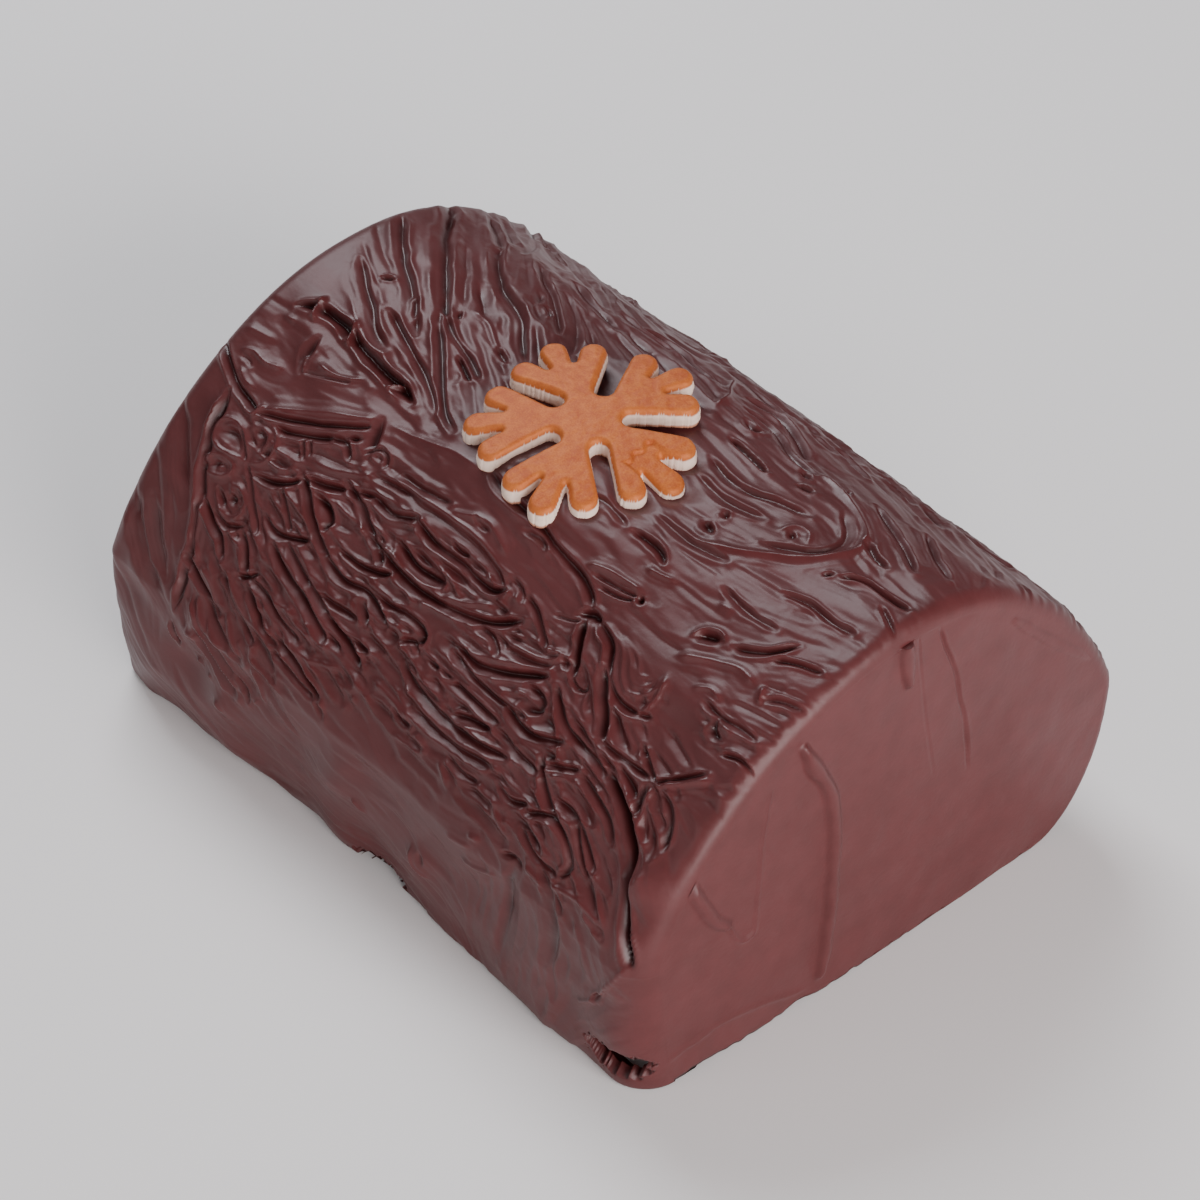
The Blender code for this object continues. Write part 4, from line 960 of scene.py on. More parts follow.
def foot_height(x: np.ndarray, side: int) -> np.ndarray:
    """Returns how far the ragged lower edge of the coat stands off the surface under the cake."""
    wave = 0.5 + 0.5 * Undulation(21 + side, 9.0, 1.0)(x, np.zeros(np.shape(x)))
    ragged = 0.35 * Undulation(31 + side, 1.7, 1.0)(x, np.zeros(np.shape(x)))
    return 0.15 + 2.0 * wave ** 2 + np.abs(ragged)


def front_radius(s: np.ndarray) -> np.ndarray:
    """Returns the radius where the coat turns on to the front end: larger down the broad corner."""
    return FRONT_RIM_RADIUS + (FRONT_CORNER_RADIUS - FRONT_RIM_RADIUS) * smoothstep(64.0, 112.0, s)


def grid_normals(points: np.ndarray) -> np.ndarray:
    """Returns unit normals of a (row, column, xyz) grid whose rows run down and columns run along +X."""
    across = np.gradient(points, axis=1)
    down = np.gradient(points, axis=0)
    normals = np.cross(down, across)
    size = np.linalg.norm(normals, axis=-1, keepdims=True)
    return normals / np.maximum(size, 1e-12)


def sheet_object(name: str, points: np.ndarray, normals: np.ndarray | None, marks: dict[str, np.ndarray]) -> bpy.types.Object:
    """Makes an object from a grid of places.

    Args:
        name: the piece's name.
        points: (row, column, xyz) in metres; seen from outside, rows run down and columns run to the right.
        normals: unit normals of the same shape, or None for the mesh's own.
        marks: named values of the surface, one for each place.

    Returns:
        The new object.
    """
    rows, columns = points.shape[:2]
    points = points.copy()
    points[..., 2] = np.maximum(points[..., 2], 0.0)
    mesh = bmesh.new()
    bmesh.ops.create_grid(mesh, x_segments=columns - 1, y_segments=rows - 1, size=1.0)
    data = bpy.data.meshes.new(name)
    mesh.to_mesh(data)
    mesh.free()
    order = (slice(None, None, -1), slice(None))
    data.vertices.foreach_set("co", points[order].astype(np.float32).ravel())
    for mark, values in marks.items():
        layer = data.attributes.new(mark, "FLOAT", "POINT")
        layer.data.foreach_set("value", np.broadcast_to(values, (rows, columns))[order].astype(np.float32).ravel())
    data.update()
    data.shade_smooth()
    if normals is not None:
        data.normals_split_custom_set_from_vertices(normals[order].reshape(-1, 3).tolist())
    made = bpy.data.objects.new(name, data)
    bpy.context.scene.collection.objects.link(made)
    return made


@dataclass
class CoatShell:
    """The barrel of the coat: four sheets that share one grid, from the far side round to the broad foot.

    Args:
        fine: spacing of the grid on the side that shows.
        coarse: spacing on the far side.
        rim_steps: facets round each rim.
    """

    fine: float = 0.34
    coarse: float = 0.6
    rim_steps: int = 14
    worked_from: float = -36.0

    def __post_init__(self) -> None:
        """Works the chocolate and lays out the grid."""
        self.work = WorkedCoat()
        self.section = Section()
        narrow_end, broad_end = self.section.around[0], self.section.around[-1]
        far = np.linspace(narrow_end, self.worked_from, round((self.worked_from - narrow_end) / self.coarse) + 1)
        shown = np.linspace(self.worked_from, broad_end, round((broad_end - self.worked_from) / self.fine) + 1)
        self.rows = np.concatenate([far, shown[1:]])
        self.far_rows = len(far)
        self.outline = flake_outline()

    def relief(self, x: np.ndarray, s: np.ndarray) -> np.ndarray:
        """Returns the height of the chocolate over the smooth section at places on the coat."""
        ends = smoothstep(85.5, 80.5, x) * smoothstep(-88.5, -84.0, x)
        return coat_swell(x, s) + self.work.map.sample(x, s) * ends

    def place(self, x: np.ndarray, s: np.ndarray, inset: np.ndarray, relief: np.ndarray) -> np.ndarray:
        """Returns points in millimetres for places on the coat, pulled in by a rim's rounding."""
        y, z = self.section.point(s)
        ny, nz = self.section.outward(s)
        height = relief - inset
        shift = BACK_END_SHIFT * smoothstep(20.0, -85.0, x)
        points = np.stack(np.broadcast_arrays(x + MIDDLE_X, y + ny * height + shift + CROWN_Y, z + nz * height), axis=-1)
        return self.press(points)

    def press(self, points: np.ndarray) -> np.ndarray:
        """Beds the snowflake: chocolate under it and close round it stays below what shows of its side."""
        u = points[..., 0] - FLAKE_CENTRE[0] - MIDDLE_X
        v = points[..., 1] - FLAKE_CENTRE[1] - CROWN_Y
        near = (np.hypot(u, v) < 34.0) & (points[..., 2] > 70.0)
        inside, _, _ = nearest_on_outline(u[near], v[near], self.outline)
        beyond = np.maximum(-inside - 0.5, 0.0)
        limit = flake_top(u[near], v[near]) - side_shown(u[near], v[near]) + 0.55 * beyond ** 1.1
        heights = points[..., 2][near]
        soft = 0.5
        points[..., 2][near] = heights - soft * np.log1p(np.exp(np.clip((heights - limit) / soft, -30.0, 30.0)))
        return points

    def columns(self) -> tuple[np.ndarray, np.ndarray]:
        """Returns the distance along and the rim inset of every (row, column) of the grid."""
        rows = self.rows[:, None]
        front = front_radius(rows)
        turns = np.radians(np.linspace(90.0, 0.0, self.rim_steps + 1))[None, :]
        back_x = BACK_END + BACK_RIM_RADIUS * (1.0 - np.sin(turns)) + 0.0 * rows
        back_inset = BACK_RIM_RADIUS * (1.0 - np.cos(turns)) + 0.0 * rows
        start, stop = BACK_END + BACK_RIM_RADIUS, FRONT_END - front
        steps = round((FRONT_END - FRONT_RIM_RADIUS - start) / self.fine)
        share = np.arange(1, steps)[None, :] / steps
        barrel_x = start + (stop - start) * share
        turns = turns[:, ::-1]
        front_x = FRONT_END - front * (1.0 - np.sin(turns))
        front_inset = front * (1.0 - np.cos(turns))
        x = np.concatenate([back_x, barrel_x, front_x], axis=1)
        inset = np.concatenate([back_inset, 0.0 * barrel_x, front_inset], axis=1)
        return x, inset

    def surface(self) -> tuple[np.ndarray, np.ndarray, np.ndarray]:
        """Returns points in millimetres, normals, and the fine relief of the whole barrel grid."""
        x, inset = self.columns()
        s = np.broadcast_to(self.rows[:, None], x.shape)
        relief = self.relief(x, s)
        points = self.place(x, s, inset, relief * (1.0 - 0.75 * inset / 9.0))
        points[0, :, 2] = foot_height(x[0], 0)
        points[-1, :, 2] = foot_height(x[-1], 1)
        normals = grid_normals(points)
        normals[:, 0] = (-1.0, 0.0, 0.0)
        normals[:, -1] = (1.0, 0.0, 0.0)
        return points, normals, relief - coat_swell(x, s)

    def tucked(self, points: np.ndarray, normals: np.ndarray, relief: np.ndarray) -> tuple[np.ndarray, np.ndarray, np.ndarray]:
        """Adds a hidden lip behind each end face and a return under each foot."""
        middle = points.mean(axis=0)
        ends = []
        for column, sign in ((0, 1.0), (-1, -1.0)):
            edge = points[:, column]
            inward = np.array((edge[:, 0].mean(), CROWN_Y, 30.0)) - edge
            inward /= np.linalg.norm(inward, axis=1, keepdims=True)
            ends.append(edge + 1.6 * inward + np.array((0.7 * sign, 0.0, 0.0)))
        points = np.concatenate([ends[0][:, None], points, ends[1][:, None]], axis=1)
        normals = np.concatenate([normals[:, :1], normals, normals[:, -1:]], axis=1)
        relief = np.concatenate([relief[:, :1], relief, relief[:, -1:]], axis=1)
        under = []
        for row, sign in ((0, -1.0), (-1, 1.0)):
            edge = points[row]
            strips = []
            for reach, height in ((0.5, 0.75), (1.6, 0.5), (5.4, 0.4)):
                strip = edge.copy()
                strip[:, 1] += sign * reach
                strip[:, 2] = np.maximum(edge[:, 2] * height, 0.1)
                strips.append(strip)
            under.append(np.stack(strips))
        points = np.concatenate([under[0][::-1], points, under[1]], axis=0)
        down = np.zeros_like(under[0])
        down[..., 2] = -1.0
        normals = np.concatenate([down, normals, down], axis=0)
        relief = np.concatenate([np.repeat(relief[:1], 3, axis=0), relief, np.repeat(relief[-1:], 3, axis=0)], axis=0)
        return points, normals, relief

    def build(self) -> list[bpy.types.Object]:
        """Returns the four sheets of the barrel."""
        bare = self.surface()
        self.front_ring = (self.rows, bare[0][:, -1])
        self.back_ring = (self.rows, bare[0][:, 0])
        points, normals, relief = self.tucked(*bare)
        far = self.far_rows + 3
        cuts = np.linspace(far - 1, len(points) - 1, 4).round().astype(int)
        spans = [(0, far - 1), *zip(cuts, cuts[1:])]
        names = ("coat_far_side", "coat_crown", "coat_flank", "coat_foot")
        made = []
        for name, (start, stop) in zip(names, spans):
            part = slice(start, stop + 1)
            made.append(sheet_object(name, points[part] * MM, normals[part], {"relief": relief[part]}))
        return made


@dataclass
class EndFace:
    """One end of the log: a sheet stretched over the rim's ring, with its own relief.

    Args:
        name: the piece's name.
        front: whether it is the smooth front end.
        strokes: what lies on it, as (sideways, height) from the crown line and the base.
        swell: height of its slow waves.
        rows: steps from foot to crown.
        columns: steps across.
    """

    name: str
    front: bool
    strokes: tuple[Stroke, ...]
    swell: float
    rows: int = 290
    columns: int = 250

    def relief(self) -> ReliefMap:
        """Draws the strokes of this end."""
        chart = ReliefMap((-80.0, 68.0), (-2.0, 93.0))
        for stroke in self.strokes:
            chart.draw(stroke)
        chart.fine = blur(chart.fine, 1.0)
        return chart

    def build(self, ring: tuple[np.ndarray, np.ndarray]) -> bpy.types.Object:
        """Stretches the sheet over a ring.

        Args:
            ring: distances around and the rim's points in millimetres.

        Returns:
            The new object.
        """
        around, edge = ring
        share = np.linspace(1.0, 0.0, self.rows + 1) ** 0.85
        broad = np.stack([np.interp(around[-1] * (1.0 - share), around, edge[:, k]) for k in range(3)], axis=-1)
        narrow = np.stack([np.interp(around[0] * (1.0 - share), around, edge[:, k]) for k in range(3)], axis=-1)
        left, right = (broad, narrow) if self.front else (narrow, broad)
        across = np.linspace(0.0, 1.0, self.columns + 1)[None, :, None]
        points = left[:, None] * (1.0 - across) + right[:, None] * across
        outward = 1.0 if self.front else -1.0
        rim = np.minimum(np.minimum(across[..., 0], 1.0 - across[..., 0]) * np.linalg.norm(right - left, axis=1)[:, None],
                         (1.0 - share[:, None]) * 60.0)
        y, z = points[..., 1] - CROWN_Y, points[..., 2]
        chart = self.relief()
        height = 0.5 * smoothstep(0.0, 25.0, rim) + self.swell * Undulation(41, 17.0, 14.0)(y, z) * smoothstep(0.0, 9.0, rim)
        height = height + 0.12 * Undulation(42, 5.0, 6.0)(y, z) * smoothstep(0.0, 4.0, rim)
        height = height + chart.sample(y, z) * smoothstep(-0.4, 1.6, rim)
        points[..., 0] += outward * height
        foot = 0.35 * Undulation(51 + self.front, 1.9, 1.0)(y[-1], 0.0 * y[-1]) + 0.5 * Undulation(53 + self.front, 7.0, 1.0)(y[-1], 0.0 * y[-1])
        edge_low = np.clip(points[-1, :, 2] * 0.0 + 0.7 + foot, 0.12, 3.0)
        blend = smoothstep(0.0, 4.0, rim[-1])
        lift = (edge_low - points[-1, :, 2]) * blend
        points[..., 2] += lift[None, :] * smoothstep(6.0, 0.0, z - points[-1:, :, 2])
        returns = []
        for reach, drop in ((0.5, 0.7), (1.8, 0.5), (4.6, 0.4)):
            strip = points[-1].copy()
            strip[:, 0] -= outward * reach
            strip[:, 2] = np.maximum(strip[:, 2] * drop, 0.1)
            returns.append(strip)
        points = np.concatenate([points, np.stack(returns)], axis=0)
        made = sheet_object(self.name, points * MM, None, {"relief": np.zeros(points.shape[:2])})
        weld_doubles(made)
        return made


def weld_doubles(target: bpy.types.Object) -> None:
    """Merges vertices that lie on each other, such as those of a row that runs to a point."""
    mesh = bmesh.new()
    mesh.from_mesh(target.data)
    bmesh.ops.remove_doubles(mesh, verts=mesh.verts[:], dist=2e-7)
    mesh.to_mesh(target.data)
    mesh.free()
    target.data.shade_smooth()


FRONT_STROKES = (
    bead(1.7, 1.5, (-30, 75), (-27.6, 69), (-23.6, 61), (-21.8, 54), (-21, 45), (-21, 34), (-21, 22), (-21.6, 12), (-22.8, 5.4)),
    bead(1.5, 1.2, (-61.2, 61), (-57, 51), (-52.6, 42), (-49, 38.1)),
    bead(0.6, 0.6, (-49, 38.1), (-46.4, 32.4), (-44, 30.4), (-41.6, 31)),
    bead(1.9, 1.3, (-3.2, 87), (-2.6, 80), (-2, 75)),
    bead(0.35, 0.35, (-38.4, 68), (-40.4, 56), (-40.8, 44), (-41.2, 31.4)),
    Stroke(Form.GROOVE, 0.5, 0.9, (0.25, 0.25),
           ((6.2, 85), (8, 79), (11.4, 70), (13, 62), (14.8, 56), (16.4, 47.6), (17.5, 38.6)), 0.0),
    Stroke(Form.GROOVE, 0.4, 0.25, (0.1, 0.1), ((0.1, 87), (1.8, 74), (3.9, 59), (7.4, 43)), 0.0),
    bead(1.2, 0.4, (27.8, 74), (38, 63), (47, 54), (52.7, 49)),
    bead(1.0, 0.35, (53, 49), (56.6, 42), (59, 36)),
    Stroke(Form.GROOVE, 0.8, 0.9, (0.5, 0.3), ((-70, 39), (-68.4, 28), (-66, 16), (-64.4, 7.6)), 0.0),
    ridge(0.5, 0.5, (-66, 7.6), (-58, 8.6), (-50, 9.4), (-44, 8.8), (-35, 6.4), (-26, 2.8)),
)

BACK_STROKES = (
    bead(1.5, 1.2, (28, 74), (25, 62), (24, 48), (24.6, 36)),
    bead(1.4, 1.0, (-34, 70), (-38, 58), (-39, 50)),
    Stroke(Form.GROOVE, 0.5, 0.7, (0.2, 0.2), ((-8, 82), (-12, 66), (-11, 52), (-14, 40)), 0.0),
    bead(1.2, 0.4, (-60, 40), (-56, 30), (-55, 20)),
)


@dataclass(frozen=True)
class Breakage:
    """A place at the base where the coat has broken away, so that the crumb shows.

    Args:
        centre: its middle, from the middle of the cake, the crown line and the base.
        radii: how far it reaches along each axis.
        inward: the way its broken wall runs into the coat.
        wall: how thick that wall is.
        smoothings: how often the stepped border is eased.
    """

    centre: tuple[float, float, float]
    radii: tuple[float, float, float]
    inward: tuple[float, float, float]
    wall: float = 3.4
    smoothings: int = 4

    def reach(self, place: Vector) -> float:
        """Returns how far out a place is, 1 on the ragged border."""
        away = [place[k] / MM - self.centre[k] - (MIDDLE_X, CROWN_Y, 0.0)[k] for k in range(3)]
        size = math.sqrt(sum((away[k] / self.radii[k]) ** 2 for k in range(3)))
        ragged = 0.10 * math.sin(2.1 * away[0] + 1.7 * away[2]) + 0.07 * math.sin(5.3 * away[0] - 4.1 * away[2])
        return size * (1.0 + ragged)

    def cut(self, target: bpy.types.Object) -> None:
        """Breaks the piece open and gives the border its wall."""
        mesh = bmesh.new()
        mesh.from_mesh(target.data)
        gone = [face for face in mesh.faces if self.reach(face.calc_center_median()) < 1.0]
        if gone:
            step = Vector(self.inward).normalized() * self.wall * MM
            outer = [face for face in gone if face.normal.dot(step) < -0.3 * step.length]
            border = {edge for face in outer for edge in face.edges}
            bmesh.ops.delete(mesh, geom=gone, context="FACES")
            border = [edge for edge in border if edge.is_valid and edge.is_boundary]
            rim = list({vert for edge in border for vert in edge.verts})
            for _ in range(self.smoothings):
                bmesh.ops.smooth_vert(mesh, verts=rim, factor=0.5, use_axis_x=True, use_axis_y=True, use_axis_z=True)
            made = bmesh.ops.extrude_edge_only(mesh, edges=border)["geom"]
            for item in made:
                if isinstance(item, bmesh.types.BMVert):
                    item.co += step
                    item.co.z = max(item.co.z, 0.0)
            mesh.to_mesh(target.data)
        mesh.free()
        log.info("%s: %d faces broken away", target.name, len(gone))


BREAKAGES = (
    Breakage((77.0, -70.5, 7.6), (7.6, 8.0, 4.2), (-0.45, 0.85, 0.1)),
    Breakage((0.5, -72.0, 1.5), (8.5, 6.0, 2.6), (0.0, 1.0, 0.1)),
)


@dataclass
class Snowflake:
    """The cut-out fondant snowflake, gilded on top.

    Args:
        step: spacing of its mesh.
        side_steps: rows down its side.
        dropped_arm: the arm whose middle lobe has cracked and sunk.
    """

    step: float = 0.33
    side_steps: int = 9
    dropped_arm: int = 3

    def plate(self) -> bmesh.types.BMesh:
        """Cuts the plan out of a grid and extrudes it; X and Y are plan places, Z is the level under the top."""
        half = 27.5
        count = round(2 * half / self.step)
        mesh = bmesh.new()
        bmesh.ops.create_grid(mesh, x_segments=count, y_segments=count, size=half)
        outline = flake_outline()
        places = np.array([vert.co[:2] for vert in mesh.verts])
        inside, near_u, near_v = nearest_on_outline(places[:, 0], places[:, 1], outline)
        gone = [vert for vert, depth in zip(mesh.verts[:], inside) if depth < -0.71 * self.step]
        for vert, depth, u, v in zip(mesh.verts, inside, near_u, near_v):
            if depth < 0.36 * self.step:
                vert.co.x, vert.co.y = u, v
        bmesh.ops.delete(mesh, geom=gone, context="VERTS")
        bmesh.ops.remove_doubles(mesh, verts=mesh.verts[:], dist=0.04 * self.step)
        bmesh.ops.dissolve_degenerate(mesh, dist=0.02 * self.step, edges=mesh.edges[:])
        flat = [face for face in mesh.faces if face.calc_area() < 1e-6]
        bmesh.ops.delete(mesh, geom=flat, context="FACES_ONLY")
        loose = [vert for vert in mesh.verts if not vert.link_faces]
        bmesh.ops.delete(mesh, geom=loose, context="VERTS")
        for vert in mesh.verts:
            vert.co.z = -FLAKE_THICKNESS
        raised = bmesh.ops.extrude_face_region(mesh, geom=mesh.faces[:])["geom"]
        for item in raised:
            if isinstance(item, bmesh.types.BMVert):
                item.co.z = 0.0
        upright = [edge for edge in mesh.edges if abs(edge.verts[0].co.z - edge.verts[1].co.z) > 1.0]
        bmesh.ops.subdivide_edges(mesh, edges=upright, cuts=self.side_steps, use_grid_fill=True)
        bmesh.ops.recalc_face_normals(mesh, faces=mesh.faces)
        return mesh

    def shape(self, plan: np.ndarray) -> tuple[np.ndarray, dict[str, np.ndarray]]:
        """Bends the plate to its real form.

        Args:
            plan: (u, v, level) of every vertex.

        Returns:
            Points in metres, and named values of the surface.
        """
        outline = flake_outline()
        u, v, level = plan.T
        inside, _, _ = nearest_on_outline(u, v, outline)
        inside = np.maximum(inside, 0.0)
        on_side = (inside < 0.05) & (level > -FLAKE_THICKNESS + 0.01) | (level < -0.01)
        radius = FLAKE_EDGE_RADIUS
        soft = 0.5 * Undulation(61, 7.0, 7.0)(u, v) + 0.5 * Undulation(62, 3.0, 3.0)(u, v)
        radius_here = radius * (1.15 + 0.25 * soft)
        depth = np.clip(radius_here - inside, 0.0, None)
        rounding = radius_here - np.sqrt(np.maximum(radius_here ** 2 - depth ** 2, 0.0))
        top = level > -0.01
        grain = 0.06 * Undulation(63, 0.9, 0.9)(u, v) + 0.10 * soft
        height = np.where(top, -rounding + grain, level)
        side = ~top & on_side
        share = np.clip(-level / FLAKE_THICKNESS, 0.0, 1.0)
        height = np.where(side & (share < 0.999), -radius_here - (FLAKE_THICKNESS - radius_here) * share + 0.05 * soft, height)
        turn = np.arctan2(v, u)
        bulge = 0.22 * np.sin(math.pi * share) + 0.12 * Undulation(64, 1.2, 0.9)(turn * 20.0, share * 4.0)
        reach = np.hypot(u, v) + 1e-9
        gradient_u, gradient_v = self.away(u, v, outline)
        spread = np.where(side, bulge, 0.0)
        u2, v2 = u + gradient_u * spread, v + gradient_v * spread
        arm = np.radians(FLAKE_TURN + 360.0 * self.dropped_arm / FLAKE_ARMS + ARM_SWINGS[self.dropped_arm])
        along, aside = u * np.cos(arm) + v * np.sin(arm), -u * np.sin(arm) + v * np.cos(arm)
        line = along - 14.2 - 0.5 * np.sin(aside * 1.7)
        lobe = smoothstep(4.6, 3.4, np.abs(aside)) * (along > 8.0)
        height = height - lobe * smoothstep(-0.12, 0.3, line) * (0.75 + 0.05 * np.maximum(line, 0.0))
        height = height - np.where(top, 0.5 * lobe * np.exp(-(line / 0.22) ** 2), 0.0)
        x = FLAKE_CENTRE[0] + u2 + MIDDLE_X
        y = FLAKE_CENTRE[1] + v2 + CROWN_Y
        z = flake_top(u, v) + height
        marks = {"depth": np.where(top, 0.0, share), "edge": np.where(top, inside, 0.0), "crack": lobe * np.exp(-(line / 0.4) ** 2),
                 "side": np.where(side, 1.0, 0.0), "reach": reach}
        return np.stack([x, y, z], axis=-1) * MM, marks

    def away(self, u: np.ndarray, v: np.ndarray, outline: np.ndarray) -> tuple[np.ndarray, np.ndarray]:
        """Returns the direction straight out from the outline at plan places near it."""
        span = 0.15
        right, _, _ = nearest_on_outline(u + span, v, outline)
        left, _, _ = nearest_on_outline(u - span, v, outline)
        above, _, _ = nearest_on_outline(u, v + span, outline)
        below, _, _ = nearest_on_outline(u, v - span, outline)
        du, dv = left - right, below - above
        size = np.maximum(np.hypot(du, dv), 1e-9)
        return du / size, dv / size

    def build(self) -> bpy.types.Object:
        """Returns the snowflake."""
        mesh = self.plate()
        data = bpy.data.meshes.new("snowflake_gilded")
        mesh.to_mesh(data)
        mesh.free()
        plan = np.empty(len(data.vertices) * 3, np.float32)
        data.vertices.foreach_get("co", plan)
        points, marks = self.shape(plan.reshape(-1, 3).astype(float))
        data.vertices.foreach_set("co", points.astype(np.float32).ravel())
        for mark, values in marks.items():
            data.attributes.new(mark, "FLOAT", "POINT").data.foreach_set("value", values.astype(np.float32))
        data.update()
        data.shade_smooth()
        made = bpy.data.objects.new("snowflake_gilded", data)
        bpy.context.scene.collection.objects.link(made)
        return made


class Wire:
    """A value in a material's nodes that expressions can be written with."""

    def __init__(self, bench: "Bench", socket: bpy.types.NodeSocket) -> None:
        """Wraps a socket of a bench."""
        self.bench = bench
        self.socket = socket

    def __add__(self, other: "Wire | float") -> "Wire":
        """Adds."""
        return self.bench.maths("ADD", self, other)

    __radd__ = __add__

    def __sub__(self, other: "Wire | float") -> "Wire":
        """Subtracts."""
        return self.bench.maths("SUBTRACT", self, other)

    def __rsub__(self, other: float) -> "Wire":
        """Subtracts from a number."""
        return self.bench.maths("SUBTRACT", other, self)

    def __mul__(self, other: "Wire | float") -> "Wire":
        """Multiplies."""
        return self.bench.maths("MULTIPLY", self, other)

    __rmul__ = __mul__

    def __pow__(self, other: float) -> "Wire":
        """Raises to a power."""
        return self.bench.maths("POWER", self, other)

    def clamp(self) -> "Wire":
        """Holds the value between 0 and 1."""
        return self.bench.maths("MINIMUM", self.bench.maths("MAXIMUM", self, 0.0), 1.0)

    def rise(self, low: float, high: float) -> "Wire":
        """Eases from 0 at low to 1 at high."""
        found = self.bench.node("ShaderNodeMapRange", {"interpolation_type": "SMOOTHSTEP"},
                                {"Value": self, "From Min": low, "From Max": high})
        return Wire(self.bench, found.outputs["Result"])


Colour = tuple[float, float, float]


class Bench:
    """Builds one Principled material out of nodes."""

    def __init__(self, name: str) -> None:
        """Starts an empty material with Object coordinates to hand."""
        self.material = bpy.data.materials.new(name)
        self.material.use_nodes = True
        self.tree = self.material.node_tree
        self.tree.nodes.clear()
        self.here = Wire(self, self.node("ShaderNodeTexCoord", {}, {}).outputs["Object"])

    def node(self, kind: str, settings: dict[str, Any], inputs: dict[Any, Any]) -> bpy.types.Node:
        """Adds a node.

        Args:
            kind: its type.
            settings: its properties, set before its sockets.
            inputs: values or wires by socket name or number.

        Returns:
            The node.
        """
        made = self.tree.nodes.new(kind)
        for key, value in settings.items():
            if key == "stops":
                while len(made.color_ramp.elements) < len(value):
                    made.color_ramp.elements.new(0.5)
                for element, (place, colour) in zip(made.color_ramp.elements, value):
                    element.position, element.color = place, (*colour, 1.0)
            else:
                setattr(made, key, value)
        for key, value in inputs.items():
            if isinstance(value, Wire):
                self.tree.links.new(value.socket, made.inputs[key])
            elif isinstance(value, tuple) and len(value) == 3 and made.inputs[key].type == "RGBA":
                made.inputs[key].default_value = (*value, 1.0)
            else:
                made.inputs[key].default_value = value
        return made

    def maths(self, operation: str, *values: "Wire | float") -> Wire:
        """Works on numbers."""
        found = self.node("ShaderNodeMath", {"operation": operation}, dict(enumerate(values)))
        return Wire(self, found.outputs["Value"])

    def mix(self, factor: "Wire | float", low: "Wire | Colour", high: "Wire | Colour", blend: str = "MIX") -> Wire:
        """Mixes two colours."""
        found = self.node("ShaderNodeMix", {"data_type": "RGBA", "blend_type": blend}, {"Factor": factor, 6: low, 7: high})
        return Wire(self, found.outputs[2])

    def stretch(self, scale: Colour, place: "Wire | None" = None) -> Wire:
        """Scales coordinates along their axes."""
        found = self.node("ShaderNodeMapping", {}, {"Vector": place or self.here, "Scale": scale})
        return Wire(self, found.outputs["Vector"])

    def noise(self, waves_per_metre: float, detail: float = 3.0, roughness: float = 0.55, place: "Wire | None" = None) -> Wire:
        """Returns noise from 0 to 1."""
        found = self.node("ShaderNodeTexNoise", {}, {"Vector": place or self.here, "Scale": waves_per_metre, "Detail": detail,
                                                     "Roughness": roughness})
        return Wire(self, found.outputs["Fac"])

    def cells(self, waves_per_metre: float, place: "Wire | None" = None) -> Wire:
        """Returns the distance to the nearest of scattered points."""
        found = self.node("ShaderNodeTexVoronoi", {}, {"Vector": place or self.here, "Scale": waves_per_metre})
        return Wire(self, found.outputs["Distance"])

    def mark(self, name: str) -> Wire:
        """Reads a named value of the surface."""
        return Wire(self, self.node("ShaderNodeAttribute", {"attribute_name": name}, {}).outputs["Fac"])

    def bump(self, height: Wire, millimetres: float, after: "Wire | None" = None) -> Wire:
        """Turns heights from 0 to 1 into a surface normal."""
        inputs: dict[str, Any] = {"Height": height, "Distance": millimetres * MM, "Strength": 1.0}
        if after is not None:
            inputs["Normal"] = after
        return Wire(self, self.node("ShaderNodeBump", {}, inputs).outputs["Normal"])

    def close(self, **sockets: Any) -> bpy.types.Material:
        """Ends the material in a Principled shader.

        Args:
            sockets: values or wires by socket name, spaces written as underscores.

        Returns:
            The material.
        """
        inputs = {name.replace("_", " "): value for name, value in sockets.items()}
        shader = self.node("ShaderNodeBsdfPrincipled", {}, inputs)
        out = self.tree.nodes.new("ShaderNodeOutputMaterial")
        self.tree.links.new(shader.outputs["BSDF"], out.inputs["Surface"])
        return self.material


@dataclass(frozen=True)
class ChocolateFinish:
    """Dark chocolate: satin where it was spread, glossy on the worked ridges, and redder and darker in the creases,
    which is painted shade.
    """

    plain: Colour = (0.070, 0.0135, 0.0135)
    pale: Colour = (0.105, 0.024, 0.025)
    # Colour of the painted shade in the creases and troughs.
    crease_shade: Colour = (0.024, 0.004, 0.004)
    gloss: float = 0.30
    satin: float = 0.46

    def build(self) -> bpy.types.Material:
        """Returns the material."""
        bench = Bench("chocolate")
        relief = bench.mark("relief")
        clouds = bench.noise(45.0, 4.0)
        specks = bench.noise(900.0, 2.0)
        streaks = bench.noise(220.0, 3.0, 0.6, bench.stretch((0.25, 1.0, 1.0)))
        tone = (clouds * 0.5 + streaks * 0.5).rise(0.3, 0.7)
        colour = bench.mix(tone * 0.55, self.plain, self.pale)
        # Painted shade: the colour turns darker and redder where the relief sinks into creases and troughs.
        colour = bench.mix((0.0 - relief).rise(0.1, 1.5) * 0.8, colour, self.crease_shade)
        colour = bench.mix(specks.rise(0.70, 0.78) * 0.25, colour, self.pale)
        worked = bench.maths("ABSOLUTE", relief).rise(0.15, 0.9)
        rough = self.satin - (self.satin - self.gloss) * worked + 0.10 * (streaks - 0.5) + 0.06 * (specks - 0.5)
        fine = bench.bump(streaks, 0.10)
        fine = bench.bump(specks, 0.03, fine)
        return bench.close(Base_Color=colour, Roughness=rough, Normal=fine, Coat_Weight=0.08, Coat_Roughness=0.25,
                           Specular_IOR_Level=0.32)


